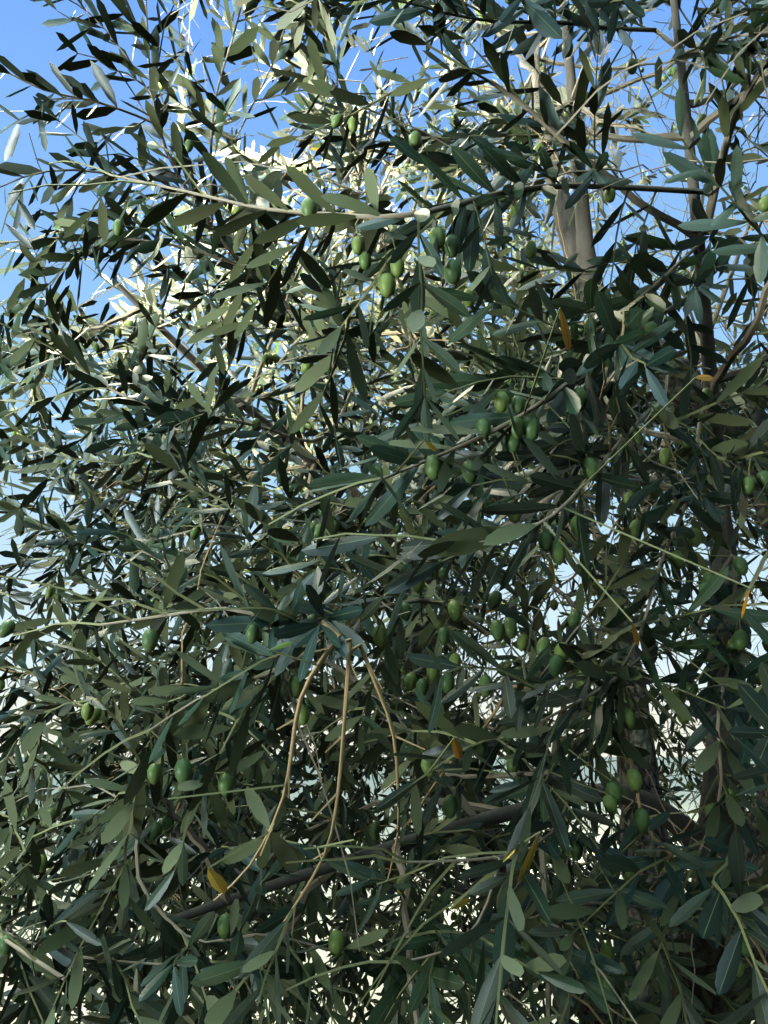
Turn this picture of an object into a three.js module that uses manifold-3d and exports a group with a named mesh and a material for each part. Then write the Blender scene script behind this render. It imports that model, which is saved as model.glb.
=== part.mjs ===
// An olive tree, rooted in level ground: trunk, boughs, limbs and masses of foliage.
// Millimetres, +Z up. The origin is the middle of the flat cut at ground level, and -Y is the
// side that the tree is seen from.
import * as THREE from "three";
import { mergeVertices } from "three/addons/utils/BufferGeometryUtils.js";
import Module from "manifold-3d";

const wasm = await Module();
wasm.setup();

const contactGap = 0.3; // between two pieces that touch
const sliver = 0.04; // edges shorter than this are closed up
const reference = new THREE.Vector3(0.31, 0.95, 0); // limbs' sides are turned from this direction
const goldenAngle = 2.39996; // turn from one side shoot to the next

// Trunk: short, gnarled and fluted, with a root flare cut flat at the ground.
const trunk = {
  height: 940,
  waistRadius: 142,
  forkSwell: 34, // the head widens under the boughs
  flareReach: 92, // how far the roots spread past the waist
  flareFade: 135, // height over which the flare dies away
  roots: 5,
  rootGap: 0.38, // how much less the flare is between two roots
  rootShift: 0.6, // radians that the roots stray from even spacing
  flutes: 4,
  fineFlutes: 7, // half as deep
  fluteDepth: 13,
  twist: 1.5, // radians that the flutes turn from foot to head
  lean: [38, -18], // where the head stands from the foot
  sway: [-14, 8.4], // how far the middle bows to the side, half way up
  dome: 0.76, // share of the height where the head starts to close
  closing: 0.94, // how far it closes over the boughs
  crotch: 14, // the head's middle stands this far above its last ring
  footMiddle: [18, 11, 0], // where the triangles of the flat cut meet
  sides: 25,
  rings: 13,
  ringSpread: 1.25, // closer rings in the flare than above it
};

// Boughs: a start inside the trunk or at another bough's tip, two handles that bend the limb
// and its tip. A start height stands for a place on the trunk's centre line.
const boughs = {
  bough_right: {
    height: 730, handles: [[350, -110, 1120], [470, -215, 1640]], tip: [330, -270, 2030], radii: [96, 61],
  },
  bough_right_upper: {
    from: "bough_right", handles: [[70, -345, 2370]], tip: [-86, -390, 2475], radii: [60, 49],
  },
  bough_leader: {
    from: "bough_right_upper", handles: [[-205, -400, 2830]], tip: [-255, -345, 3190], radii: [40, 24],
  },
  bough_left: {
    height: 700, handles: [[-420, 60, 960], [-700, 230, 1580]], tip: [-570, 50, 2080], radii: [84, 38],
  },
  bough_back: {
    height: 750, handles: [[40, 260, 1160], [200, 560, 1560]], tip: [140, 620, 2040], radii: [84, 40],
  },
  bough_side: {
    height: 660, handles: [[330, 90, 930], [640, 150, 1420]], tip: [800, 210, 1790], radii: [74, 34],
  },
  bough_front: {
    height: 640, handles: [[-10, -330, 900], [-60, -700, 1330]], tip: [-130, -930, 1730], radii: [66, 26],
  },
};
const boughSides = 8;
const boughRings = 6;
const lead = 150; // how far a bough goes straight on from the one that it continues

// Masses of foliage in rings round the crown: how many, how high, how far out, the direction
// of the first in degrees, the reach of each, and how its twigs grow.
const rings = [
  { masses: 5, height: 1330, out: 1090, first: 235, reach: 800, habit: "hanging" },
  { masses: 6, height: 2250, out: 1130, first: 260, reach: 760, habit: "spreading" },
  { masses: 5, height: 3080, out: 800, first: 250, reach: 800, habit: "upright" },
];
const singles = [
  { heart: [-130, -60, 3640], reach: 720, habit: "upright" }, // the top of the crown
  { heart: [-330, -440, 1960], reach: 560, habit: "hanging" }, // inside, behind the front twigs
];
// Each mass's name, the bough that carries it and where its limb leaves that bough. A share
// of 1 sets the mass on the bough's own tip, with no limb between.
const carriers = [
  ["skirt_front_left", "bough_front", 0.58],
  ["skirt_front_right", "bough_front", 0.46],
  ["skirt_right", "bough_side", 0.68],
  ["skirt_back", "bough_back", 0.5],
  ["skirt_left", "bough_left", 0.56],
  ["middle_front", "bough_front", 1],
  ["middle_right_front", "bough_right", 0.82],
  ["middle_right_back", "bough_side", 1],
  ["middle_back", "bough_back", 0.84],
  ["middle_left_back", "bough_left", 0.76],
  ["middle_left_front", "bough_left", 0.86],
  ["upper_front", "bough_leader", 0.28],
  ["upper_right", "bough_right_upper", 0.34],
  ["upper_back_right", "bough_back", 0.94],
  ["upper_back_left", "bough_back", 1],
  ["upper_left", "bough_left", 1],
  ["top", "bough_leader", 1],
  ["inner", "bough_right_upper", 0.93],
];
const limb = { share: 0.5, radii: [25, 15], sides: 5, rings: 3, lift: 90, pointStep: 20 };
const seeds = { first: 7919, perMass: 104, perTwig: 613 };

// The space that the crown keeps to: a dome over a fuller, flat-bottomed skirt, with swells
// that wind round it.
const crown = { height: 2380, spread: 1780, rise: 1760, skirt: 2150, floor: 600 };
const swells = [
  { around: 3, perHeight: 0.0018, phase: 0.25, depth: 0.06 },
  { around: 5, perHeight: -0.0026, phase: 1.81, depth: 0.04 },
];
const clearance = 6; // between two masses, and round every limb

// How far the twigs of each habit bow away from their pull before they turn to it, as a share
// of their length, and how far the mass's stem climbs.
const habits = {
  hanging: { pull: [0, 0, -1], bow: 0.2, stemRise: -0.1 },
  spreading: { pull: [0, 0, 1], bow: 0.08, stemRise: 0.25 },
  upright: { pull: [0, 0, 1], bow: 0.16, stemRise: 0.75 },
};

// Stems, twigs and leaves. A leaf here stands for the spray of leaves on one shoot.
const stem = { radii: [14.5, 8], sides: 4, rings: 4, share: 0.55, steady: 0.5 };
const twig = {
  count: 11,
  inward: -0.75, // no twig aims nearer to the stem's root than this cosine
  reach: 0.66, // share of the mass's reach that a twig goes out to
  vary: 0.2,
  first: 0.12, // share of the stem that is bare
  fork: 0.5, // how far before its target's own height on the stem a twig leaves it
  tries: [1, 0.75, 0.5], // parts of its length that are tried in turn
  tested: [0.3, 0.5, 0.75, 1],
  radii: [7, 5],
  sides: 3,
  rings: 2,
};
const leaf = {
  shares: [0.36, 0.66, 0.86], // places along the twig, besides the one at its end
  length: 276,
  vary: 70,
  width: 78,
  thickness: 15,
  widest: 0.34,
  angle: 0.75,
  section: [[0.5, 0.3], [-0.5, 0.3], [0, -0.7]], // flat top and keel, in widths and thicknesses
};
const olive = {
  length: 38,
  width: 29,
  profile: [[0, -1], [0.5, -0.8], [0.5, -0.3], [0, 0]], // out and up, in widths and lengths
  sides: 5,
  onTwig: 4,
  share: 0.6,
  sunk: 5,
};

// Repeatable draws between 0 and 1.
function seededDraws(seed) {
  let state = seed;
  return () => {
    state = (state * 16807) % 2147483647;
    return state / 2147483647;
  };
}

function vector([x, y, z]) {
  return new THREE.Vector3(x, y, z);
}

// A closed geometry as a solid that can be joined and cut.
function solidOf(geometry) {
  const bare = geometry.clone();
  bare.deleteAttribute("normal");
  bare.deleteAttribute("uv");
  const merged = mergeVertices(bare, 1e-4);
  return new wasm.Manifold(new wasm.Mesh({
    numProp: 3,
    vertProperties: Float32Array.from(merged.attributes.position.array),
    triVerts: Uint32Array.from(merged.index.array),
  }));
}

// Of what a cut or a join leaves, the main body, without slivers: loose scraps and sealed
// hollows are dropped.
function mainBody(solid) {
  const pieces = solid.asOriginal().simplify(sliver).decompose();
  return pieces.reduce((best, piece) => (piece.volume() > best.volume() ? piece : best));
}

// A closed skin over rings of points, each ring with the same number of points. Each end is
// flat, or closes in a point of its own.
function skinGeometry(ringPoints, apex, root) {
  const sides = ringPoints[0].length;
  const positions = ringPoints.flat().flatMap((point) => [point.x, point.y, point.z]);
  const triangles = [];
  for (let ring = 0; ring + 1 < ringPoints.length; ring += 1) {
    for (let side = 0; side < sides; side += 1) {
      const here = ring * sides + side;
      const next = ring * sides + ((side + 1) % sides);
      triangles.push(here, next, next + sides, here, next + sides, here + sides);
    }
  }
  const last = (ringPoints.length - 1) * sides;
  const points = ringPoints.length * sides;
  positions.push(...[apex, root].filter(Boolean).flatMap((point) => [point.x, point.y, point.z]));
  for (let side = 0; side < sides; side += 1) {
    const next = (side + 1) % sides;
    if (apex) {
      triangles.push(last + side, last + next, points);
    } else if (side > 0 && next > 0) {
      triangles.push(last, last + side, last + next);
    }
    if (root) {
      triangles.push(next, side, points + 1);
    } else if (side > 0 && next > 0) {
      triangles.push(0, next, side);
    }
  }
  const geometry = new THREE.BufferGeometry();
  geometry.setAttribute("position", new THREE.Float32BufferAttribute(positions, 3));
  geometry.setIndex(triangles);
  return geometry;
}

// Two directions square to a limb's own and to each other.
function squareTo(along) {
  const across = reference.clone().cross(along).normalize();
  return [across, along.clone().cross(across)];
}

// Rings of points round a limb that tapers along a curve. The first may be squared to the end
// of another limb. With a growth, the limb is that much larger all round and at both ends.
function taperedRings(curve, { radii, sides, rings: ringCount }, firstDirection, growth = 0) {
  return Array.from({ length: ringCount + 1 }, (_, ring) => {
    const share = ring / ringCount;
    const along = ring === 0 && firstDirection ? firstDirection : curve.getTangent(share);
    const [across, other] = squareTo(along);
    const radius = THREE.MathUtils.lerp(radii[0], radii[1], share) + growth;
    const atEnd = { 0: -growth, [ringCount]: growth }[ring] ?? 0;
    const middle = curve.getPoint(share).addScaledVector(along, atEnd);
    return Array.from({ length: sides }, (__, side) => {
      const angle = (2 * Math.PI * side) / sides;
      return middle.clone()
        .addScaledVector(across, radius * Math.cos(angle))
        .addScaledVector(other, radius * Math.sin(angle));
    });
  });
}

// The trunk's centre line, and its fluted outline at a height.
function trunkMiddle(height) {
  const share = height / trunk.height;
  const [x, y] = [0, 1].map((k) => trunk.lean[k] * share + trunk.sway[k] * Math.sin(Math.PI * share));
  return new THREE.Vector3(x, y, height);
}

function trunkRadius(height, angle) {
  const share = height / trunk.height;
  const turned = angle + trunk.twist * share;
  const flare = trunk.flareReach * Math.exp(-height / trunk.flareFade);
  const root = Math.cos(trunk.roots * angle + trunk.rootShift * Math.sin(2 * angle));
  const lobes = 1 - trunk.rootGap * (1 - root);
  const flutes = Math.cos(trunk.flutes * turned) + Math.cos(trunk.fineFlutes * turned + 1) / 2;
  const swell = trunk.forkSwell * share * share + trunk.fluteDepth * flutes;
  const domed = Math.max(share - trunk.dome, 0) / (1 - trunk.dome);
  return (trunk.waistRadius + flare * lobes + swell) * Math.sqrt(1 - trunk.closing * domed ** 2);
}

function trunkGeometry(growth) {
  const ringPoints = [];
  for (let ring = 0; ring <= trunk.rings; ring += 1) {
    const height = trunk.height * (ring / trunk.rings) ** trunk.ringSpread;
    const middle = trunkMiddle(height);
    ringPoints.push(Array.from({ length: trunk.sides }, (_, side) => {
      const angle = (2 * Math.PI * side) / trunk.sides;
      const radius = trunkRadius(height, angle) + growth;
      return middle.clone().add(new THREE.Vector3(radius * Math.cos(angle), radius * Math.sin(angle), 0));
    }));
  }
  const crotch = trunkMiddle(trunk.height);
  crotch.z += trunk.crotch + growth;
  return skinGeometry(ringPoints, crotch, vector(trunk.footMiddle));
}

// Limbs: each keeps its curve and radii, for what grows on it and what has to stay clear of it.
const limbs = {};

function addLimb(name, curve, shape, start) {
  let solid = solidOf(skinGeometry(taperedRings(curve, shape, start?.direction)));
  for (const other of Object.values(limbs)) {
    if (other.name !== start?.carrier) {
      solid = solid.subtract(other.grown);
    }
  }
  const grown = solidOf(skinGeometry(taperedRings(curve, shape, start?.direction, contactGap)));
  limbs[name] = { name, curve, radii: shape.radii, solid: mainBody(solid), grown };
}

// Where a limb or stem carries straight on from a tip: just past the flat end, squared to it.
function tipOf(carrier) {
  const direction = limbs[carrier].curve.getTangent(1);
  const point = limbs[carrier].curve.getPoint(1).addScaledVector(direction, contactGap);
  return { carrier, direction, point };
}

function addBough(name, { height, from, handles, tip, radii }) {
  const shape = { radii, sides: boughSides, rings: boughRings };
  if (from) {
    const start = tipOf(from);
    const onward = start.point.clone().addScaledVector(start.direction, lead);
    const curve = new THREE.CubicBezierCurve3(start.point, onward, vector(handles[0]), vector(tip));
    addLimb(name, curve, shape, start);
  } else {
    const curve = new THREE.CubicBezierCurve3(trunkMiddle(height), ...handles.map(vector), vector(tip));
    addLimb(name, curve, shape);
  }
}

// The masses, each with its heart, reach and habit.
function massTable() {
  const places = rings.flatMap(({ masses, height, out, first, reach, habit }) =>
    Array.from({ length: masses }, (_, k) => {
      const angle = THREE.MathUtils.degToRad(first + (360 / masses) * k);
      return { heart: new THREE.Vector3(out * Math.cos(angle), out * Math.sin(angle), height), reach, habit };
    }));
  for (const { heart, reach, habit } of singles) {
    places.push({ heart: vector(heart), reach, habit });
  }
  return places.map((place, k) => {
    const [name, carrier, share] = carriers[k];
    return { ...place, name, carrier, share, seed: seeds.first + seeds.perMass * k };
  });
}

// The limb that runs from a bough towards a mass, bowed upwards.
function addLimbTo(mass) {
  const start = limbs[mass.carrier].curve.getPoint(mass.share);
  const tip = start.clone().lerp(mass.heart, limb.share);
  tip.z += limb.lift;
  const handle = start.clone().lerp(tip, 0.5);
  handle.z += limb.lift * (mass.habit === "upright" ? -1 / 3 : 1);
  addLimb(`limb_${mass.name}`, new THREE.QuadraticBezierCurve3(start, handle, tip), limb);
}

function isInCrown({ x, y, z }) {
  const climb = z - crown.height;
  const closed = climb > 0 ? (climb / crown.rise) ** 2 : (climb / crown.skirt) ** 4;
  const azimuth = Math.atan2(y, x);
  let spread = crown.spread;
  for (const { around, perHeight, phase, depth } of swells) {
    spread += crown.spread * depth * Math.sin(around * azimuth + perHeight * climb + phase);
  }
  return z > crown.floor && (x * x + y * y) / spread ** 2 + closed < 1;
}

// Whether a point stays in the mass's own space, this far clear of everything else.
function isFree(point, mass, margin) {
  if (!isInCrown(point) || point.distanceTo(mass.heart) > mass.reach) {
    return false;
  }
  for (const other of masses) {
    const apart = other.heart.distanceTo(mass.heart);
    const further = point.distanceToSquared(other.heart) - point.distanceToSquared(mass.heart);
    if (other !== mass && further / (2 * apart) < margin) {
      return false;
    }
  }
  return limbPoints.every(({ middle, radius }) => point.distanceTo(middle) > radius + margin);
}

// Points along every limb, close enough together to stand for the whole limb.
function pointsAlongLimbs() {
  return Object.values(limbs).flatMap(({ curve, radii }) => {
    const steps = Math.ceil(curve.getLength() / limb.pointStep);
    return Array.from({ length: steps + 1 }, (_, k) => ({
      middle: curve.getPoint(k / steps),
      radius: THREE.MathUtils.lerp(radii[0], radii[1], k / steps),
    }));
  });
}

// A mass's stem: on from its limb's tip, through the heart, to the far side.
function stemCurve(mass) {
  const start = tipOf(mass.limb);
  const outward = mass.heart.clone().sub(start.point).normalize();
  outward.z += habits[mass.habit].stemRise;
  const end = mass.heart.clone().addScaledVector(outward.normalize(), mass.reach * stem.share);
  const handle = start.point.clone().addScaledVector(start.direction, start.point.distanceTo(end) / 2);
  const curve = new THREE.QuadraticBezierCurve3(start.point, handle.lerp(mass.heart, stem.steady), end);
  return { curve, start };
}

// The points at the ends of the straight stretches that a curve's rings make of it.
function cornersOf(curve, { rings: ringCount }) {
  return Array.from({ length: ringCount + 1 }, (_, ring) => curve.getPoint(ring / ringCount));
}

// The place at a share of the way along those stretches, and the direction there.
function placeOn(corners, share) {
  const from = Math.min(Math.floor(share * (corners.length - 1)), corners.length - 2);
  const point = corners[from].clone().lerp(corners[from + 1], share * (corners.length - 1) - from);
  return { point, along: corners[from + 1].clone().sub(corners[from]).normalize() };
}

// Where a mass's twigs reach out to: places spread evenly round its heart, on a spiral.
function twigTarget(mass, k, spin, out) {
  const height = 1 - (2 * (k + 0.5)) / twig.count;
  const across = Math.sqrt(1 - height * height);
  const angle = goldenAngle * k + spin;
  const aim = new THREE.Vector3(across * Math.cos(angle), across * Math.sin(angle), height);
  return { aim, target: mass.heart.clone().addScaledVector(aim, mass.reach * out) };
}

// The share of the stem where a twig forks off, before the place that is level with its target.
function forkShare(corners, target) {
  const whole = corners.at(-1).clone().sub(corners[0]);
  const reached = target.clone().sub(corners[0]).dot(whole) / whole.lengthSq();
  const aside = target.distanceTo(corners[0].clone().addScaledVector(whole, reached)) / whole.length();
  return THREE.MathUtils.clamp(reached - twig.fork * aside, twig.first, 1);
}

// The longest twig towards a target that stays in the mass's space, or none.
function fittedTwig(mass, point, target) {
  const { pull, bow } = habits[mass.habit];
  for (const part of twig.tries) {
    const end = point.clone().lerp(target, part);
    const handle = point.clone().lerp(end, 0.5).addScaledVector(vector(pull), -bow * point.distanceTo(end));
    const curve = new THREE.QuadraticBezierCurve3(point, handle, end);
    if (twig.tested.every((share) => isFree(curve.getPoint(share), mass, clearance + twig.radii[0]))) {
      return curve;
    }
  }
  return null;
}

// The widest ring of a leaf, a flat top with a keel below, and its tip.
function leafRing(base, along, length, roll) {
  const [across, other] = squareTo(along).map((side) => side.applyAxisAngle(along, roll));
  const middle = base.clone().addScaledVector(along, length * leaf.widest);
  const ring = leaf.section.map(([wide, thick]) => middle.clone()
    .addScaledVector(across, wide * leaf.width)
    .addScaledVector(other, thick * leaf.thickness));
  return { ring, tip: base.clone().addScaledVector(along, length) };
}

// Points on a leaf's edges, which all have to be free for the leaf to be kept.
function leafIsFree({ ring, tip }, mass) {
  const points = [...ring, tip, ...ring.map((point) => point.clone().lerp(tip, 0.5))];
  return points.every((point) => isFree(point, mass, clearance));
}

// A leaf on the side of a twig: it starts in a point at the twig's middle, so its root is sunk.
function sideLeaf({ point, along }, turn, length, roll) {
  const side = squareTo(along)[0].applyAxisAngle(along, turn);
  const leaving = along.clone().multiplyScalar(Math.cos(leaf.angle));
  leaving.addScaledVector(side, Math.sin(leaf.angle));
  return { root: point, ...leafRing(point, leaving, length, roll) };
}

// A ring's points in the order that lies closest to another ring's, so a skin between the two
// isn't twisted.
function nearest(ring, target) {
  const turns = ring.map((_, k) => [...ring.slice(k), ...ring.slice(0, k)]);
  const gap = (turned) => turned.reduce((sum, point, k) => sum + point.distanceToSquared(target[k]), 0);
  return turns.reduce((best, turned) => (gap(turned) < gap(best) ? turned : best));
}

// An olive hangs by its pointed top, which is sunk in the twig.
function oliveSolid(place) {
  const points = olive.profile.map(([out, z]) => new THREE.Vector2(out * olive.width, z * olive.length));
  const geometry = new THREE.LatheGeometry(points, olive.sides);
  geometry.rotateX(Math.PI / 2);
  geometry.translate(place.x, place.y, place.z + olive.sunk);
  return solidOf(geometry);
}

// A twig that ends in a leaf, with more leaves on its sides.
function twigSolid(mass, curve, draw) {
  const drawLength = () => leaf.length + leaf.vary * (draw() - 0.5);
  const ringsOfTwig = taperedRings(curve, twig);
  const corners = cornersOf(curve, twig);
  const end = leafRing(corners.at(-1), placeOn(corners, 1).along, drawLength(), draw() * Math.PI);
  const ringsToLeaf = [...ringsOfTwig, nearest(end.ring, ringsOfTwig.at(-1))];
  let solid = solidOf(leafIsFree(end, mass) ? skinGeometry(ringsToLeaf, end.tip) : skinGeometry(ringsOfTwig));
  leaf.shares.forEach((share, n) => {
    const turn = Math.PI * n + draw();
    const side = sideLeaf(placeOn(corners, share), turn, drawLength(), draw() * Math.PI);
    if (leafIsFree(side, mass)) {
      solid = solid.add(solidOf(skinGeometry([side.ring], side.tip, side.root)));
    }
  });
  return solid;
}

// One mass: the stem and its twigs, and an olive on one of them.
function massSolid(mass) {
  const { curve, start } = stemCurve(mass);
  const corners = cornersOf(curve, stem);
  const inwards = corners[0].clone().sub(mass.heart).normalize();
  const spin = seededDraws(mass.seed)() * 2 * Math.PI;
  let solid = solidOf(skinGeometry(taperedRings(curve, stem, start.direction)));
  for (let k = 0; k < twig.count; k += 1) {
    const draw = seededDraws(mass.seed + seeds.perTwig * (k + 1));
    const { aim, target } = twigTarget(mass, k, spin, twig.reach + twig.vary * (draw() - 0.5));
    const place = placeOn(corners, forkShare(corners, target));
    const curveOfTwig = aim.dot(inwards) > -twig.inward ? null : fittedTwig(mass, place.point, target);
    if (curveOfTwig === null) {
      continue;
    }
    solid = solid.add(twigSolid(mass, curveOfTwig, draw));
    if (k === olive.onTwig) {
      solid = solid.add(oliveSolid(placeOn(cornersOf(curveOfTwig, twig), olive.share).point));
    }
  }
  return mainBody(solid);
}

// The named mesh of a solid.
function meshOf(name, solid, material) {
  const { vertProperties, triVerts } = solid.getMesh();
  const geometry = new THREE.BufferGeometry();
  geometry.setAttribute("position", new THREE.BufferAttribute(Float32Array.from(vertProperties), 3));
  geometry.setIndex(new THREE.BufferAttribute(Uint32Array.from(triVerts), 1));
  geometry.computeVertexNormals();
  const mesh = new THREE.Mesh(geometry, material);
  mesh.name = name;
  return mesh;
}

limbs.trunk = {
  name: "trunk",
  curve: new THREE.LineCurve3(trunkMiddle(0), trunkMiddle(trunk.height)),
  radii: [trunk.waistRadius, trunk.waistRadius],
  solid: solidOf(trunkGeometry(0)),
  grown: solidOf(trunkGeometry(contactGap)),
};
for (const [name, bough] of Object.entries(boughs)) {
  addBough(name, bough);
}

const masses = massTable();
for (const mass of masses) {
  if (mass.share < 1) {
    addLimbTo(mass);
  }
  mass.limb = mass.share < 1 ? `limb_${mass.name}` : mass.carrier;
}
const limbPoints = pointsAlongLimbs();

const tree = new THREE.Group();
for (const { name, solid } of Object.values(limbs)) {
  const bark = new THREE.MeshStandardMaterial({ color: 0x81786c, roughness: 0.9, metalness: 0 });
  tree.add(meshOf(name, solid, bark));
}
for (const mass of masses) {
  const foliage = new THREE.MeshStandardMaterial({ color: 0x66745a, roughness: 0.6, metalness: 0 });
  tree.add(meshOf(`foliage_${mass.name}`, massSolid(mass), foliage));
}

export default tree;
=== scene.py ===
import math

import bpy
import numpy as np
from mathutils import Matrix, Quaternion, Vector


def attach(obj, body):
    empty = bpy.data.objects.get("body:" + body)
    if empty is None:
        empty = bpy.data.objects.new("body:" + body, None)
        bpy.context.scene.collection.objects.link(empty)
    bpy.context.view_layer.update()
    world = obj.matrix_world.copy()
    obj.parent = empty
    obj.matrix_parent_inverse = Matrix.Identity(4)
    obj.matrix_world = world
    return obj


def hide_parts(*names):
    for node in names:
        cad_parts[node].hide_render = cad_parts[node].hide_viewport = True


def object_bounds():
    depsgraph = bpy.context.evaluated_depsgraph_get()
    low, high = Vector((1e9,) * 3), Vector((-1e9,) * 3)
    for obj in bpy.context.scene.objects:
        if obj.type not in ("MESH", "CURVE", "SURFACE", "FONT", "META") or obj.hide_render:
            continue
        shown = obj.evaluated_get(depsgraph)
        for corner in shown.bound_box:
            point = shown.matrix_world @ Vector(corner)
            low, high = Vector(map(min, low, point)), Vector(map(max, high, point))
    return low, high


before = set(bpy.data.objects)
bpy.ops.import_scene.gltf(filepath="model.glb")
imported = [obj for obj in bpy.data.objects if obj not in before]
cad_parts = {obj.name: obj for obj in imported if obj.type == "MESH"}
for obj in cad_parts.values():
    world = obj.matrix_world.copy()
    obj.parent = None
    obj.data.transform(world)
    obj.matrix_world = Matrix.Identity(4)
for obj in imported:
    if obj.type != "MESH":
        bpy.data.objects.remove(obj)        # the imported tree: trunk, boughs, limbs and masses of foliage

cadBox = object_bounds()
print("frame loaded:", len(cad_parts), "nodes")

# The view of the photograph: from just outside the crown, looking up into it.
view = {
    "place": (-0.7, -2.2, 1.5),
    "tilt": 15,                       # degrees above level, along +Y
    "photo": (768, 1024),             # pixels across and down
    "focal": 769,                     # pixels
    "sensor": 36,                     # mm, the long side
    "clip": 0.05,
}


def makeCamera():
    data = bpy.data.cameras.new("camera")
    data.sensor_width = view["sensor"]
    data.lens = view["focal"] * view["sensor"] / view["photo"][1]
    data.clip_start = view["clip"]
    camera = bpy.data.objects.new("camera", data)
    camera.location = view["place"]
    camera.rotation_euler = (math.radians(90 + view["tilt"]), 0, 0)
    bpy.context.collection.objects.link(camera)
    bpy.context.scene.camera = camera


def viewAxes():                       # right, up and forward of the camera
    tilt = math.radians(view["tilt"])
    forward = np.array((0, math.cos(tilt), math.sin(tilt)))
    upward = np.array((0, -math.sin(tilt), math.cos(tilt)))
    return np.array((1.0, 0, 0)), upward, forward


def seenAt(points):                   # photo pixels across and down, and depth, of places
    right, upward, forward = viewAxes()
    rays = np.atleast_2d(points) - np.array(view["place"])
    depth = rays @ forward
    ahead = np.maximum(depth, 0.01)
    across = view["photo"][0] / 2 + view["focal"] * (rays @ right) / ahead
    down = view["photo"][1] / 2 - view["focal"] * (rays @ upward) / ahead
    return across, down, depth


def inFrame(across, down, past):      # inside the photo, or past its sides by so many pixels
    halfWide, halfHigh = view["photo"][0] / 2, view["photo"][1] / 2
    inWidth = np.abs(across - halfWide) < halfWide + past[0]
    return inWidth & (np.abs(down - halfHigh) < halfHigh + past[1])


def placeSeen(across, down, depth):   # the place of a photo pixel at a depth in metres
    right, upward, forward = viewAxes()
    half = np.array(view["photo"]) / 2
    ray = forward + right * (across - half[0]) / view["focal"] + upward * (half[1] - down) / view["focal"]
    return Vector(np.array(view["place"]) + ray * depth)


# The rule that the tree grows by, in metres, as in the CAD source.
contactGap = 0.0003                   # between a bough's tip and what it carries
reference = Vector((0.31, 0.95, 0))   # what the turn of a shoot or a leaf is measured from
goldenAngle = 2.39996

trunk = {
    "height": 0.94, "waist": 0.142, "forkSwell": 0.034, "flareReach": 0.092, "flareFade": 0.135,
    "roots": 5, "lobes": (0.62, 0.38, 0.6),           # mean, height and unevenness of the root flare
    "flutes": 4, "fluteDepth": 0.013, "twist": 1.5,
    "fineFlutes": (0.5, 7, 1),        # depth as a share of the flutes', count and phase
    "lean": (0.038, -0.018), "sway": (0.014, 0.6), "dome": 0.76, "closing": 0.94,
}
boughs = {
    "bough_right": {"height": 0.73, "handles": [(0.35, -0.11, 1.12), (0.47, -0.215, 1.64)],
                    "tip": (0.33, -0.27, 2.03), "radii": (0.096, 0.061)},
    "bough_right_upper": {"from": "bough_right", "handles": [(0.07, -0.345, 2.37)],
                          "tip": (-0.086, -0.39, 2.475), "radii": (0.06, 0.049)},
    "bough_leader": {"from": "bough_right_upper", "handles": [(-0.205, -0.4, 2.83)],
                     "tip": (-0.255, -0.345, 3.19), "radii": (0.04, 0.024)},
    "bough_left": {"height": 0.7, "handles": [(-0.42, 0.06, 0.96), (-0.7, 0.23, 1.58)],
                   "tip": (-0.57, 0.05, 2.08), "radii": (0.084, 0.038)},
    "bough_back": {"height": 0.75, "handles": [(0.04, 0.26, 1.16), (0.2, 0.56, 1.56)],
                   "tip": (0.14, 0.62, 2.04), "radii": (0.084, 0.04)},
    "bough_side": {"height": 0.66, "handles": [(0.33, 0.09, 0.93), (0.64, 0.15, 1.42)],
                   "tip": (0.8, 0.21, 1.79), "radii": (0.074, 0.034)},
    "bough_front": {"height": 0.64, "handles": [(-0.01, -0.33, 0.9), (-0.06, -0.7, 1.33)],
                    "tip": (-0.13, -0.93, 1.73), "radii": (0.066, 0.026)},
}
boughLead = 0.15                      # how far a bough runs straight on from the one that carries it
rings = [                             # of masses round the tree, by height and first angle
    {"masses": 5, "height": 1.33, "out": 1.09, "first": 235, "reach": 0.8, "habit": "hanging"},
    {"masses": 6, "height": 2.25, "out": 1.13, "first": 260, "reach": 0.76, "habit": "spreading"},
    {"masses": 5, "height": 3.08, "out": 0.8, "first": 250, "reach": 0.8, "habit": "upright"},
]
singles = [                           # masses that stand in no ring
    {"heart": (-0.13, -0.06, 3.64), "reach": 0.72, "habit": "upright"},
    {"heart": (-0.33, -0.44, 1.96), "reach": 0.56, "habit": "hanging"},
]
carriers = [                          # each mass, its bough, and where its limb leaves that bough
    ("skirt_front_left", "bough_front", 0.58),
    ("skirt_front_right", "bough_front", 0.46),
    ("skirt_right", "bough_side", 0.68),
    ("skirt_back", "bough_back", 0.5),
    ("skirt_left", "bough_left", 0.56),
    ("middle_front", "bough_front", 1),
    ("middle_right_front", "bough_right", 0.82),
    ("middle_right_back", "bough_side", 1),
    ("middle_back", "bough_back", 0.84),
    ("middle_left_back", "bough_left", 0.76),
    ("middle_left_front", "bough_left", 0.86),
    ("upper_front", "bough_leader", 0.28),
    ("upper_right", "bough_right_upper", 0.34),
    ("upper_back_right", "bough_back", 0.94),
    ("upper_back_left", "bough_back", 1),
    ("upper_left", "bough_left", 1),
    ("top", "bough_leader", 1),
    ("inner", "bough_right_upper", 0.93),
]
limbRule = {"share": 0.5, "radii": (0.025, 0.015), "lift": 0.09}
crown = {
    "height": 2.38, "spread": 1.78, "rise": 1.76, "skirt": 2.15, "floor": 0.6, "clearance": 0.006,
    "swells": [(3, 1.8, 0.25, 0.06), (5, -2.6, 1.81, 0.04)],      # around, per metre up, phase, depth
}
# Each habit gives the share of its sprays in the sunlit light tints: partly the lighter young leaves in
# the sun, partly painted sunlight, so the upright sprays up top come out lighter and the hanging ones low
# down darker.
habits = {                            # the pull that the twigs turn to, after bowing away from it
    "hanging": {"pull": (0, 0, -1), "bow": 0.2, "stemRise": -0.1, "lift": -0.25, "sunlitPale": 0.03},
    "spreading": {"pull": (0, 0, 1), "bow": 0.08, "stemRise": 0.25, "lift": 0.15, "sunlitPale": 0.25},
    "upright": {"pull": (0, 0, 1), "bow": 0.16, "stemRise": 0.75, "lift": 0.5, "sunlitPale": 0.75},
}
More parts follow.
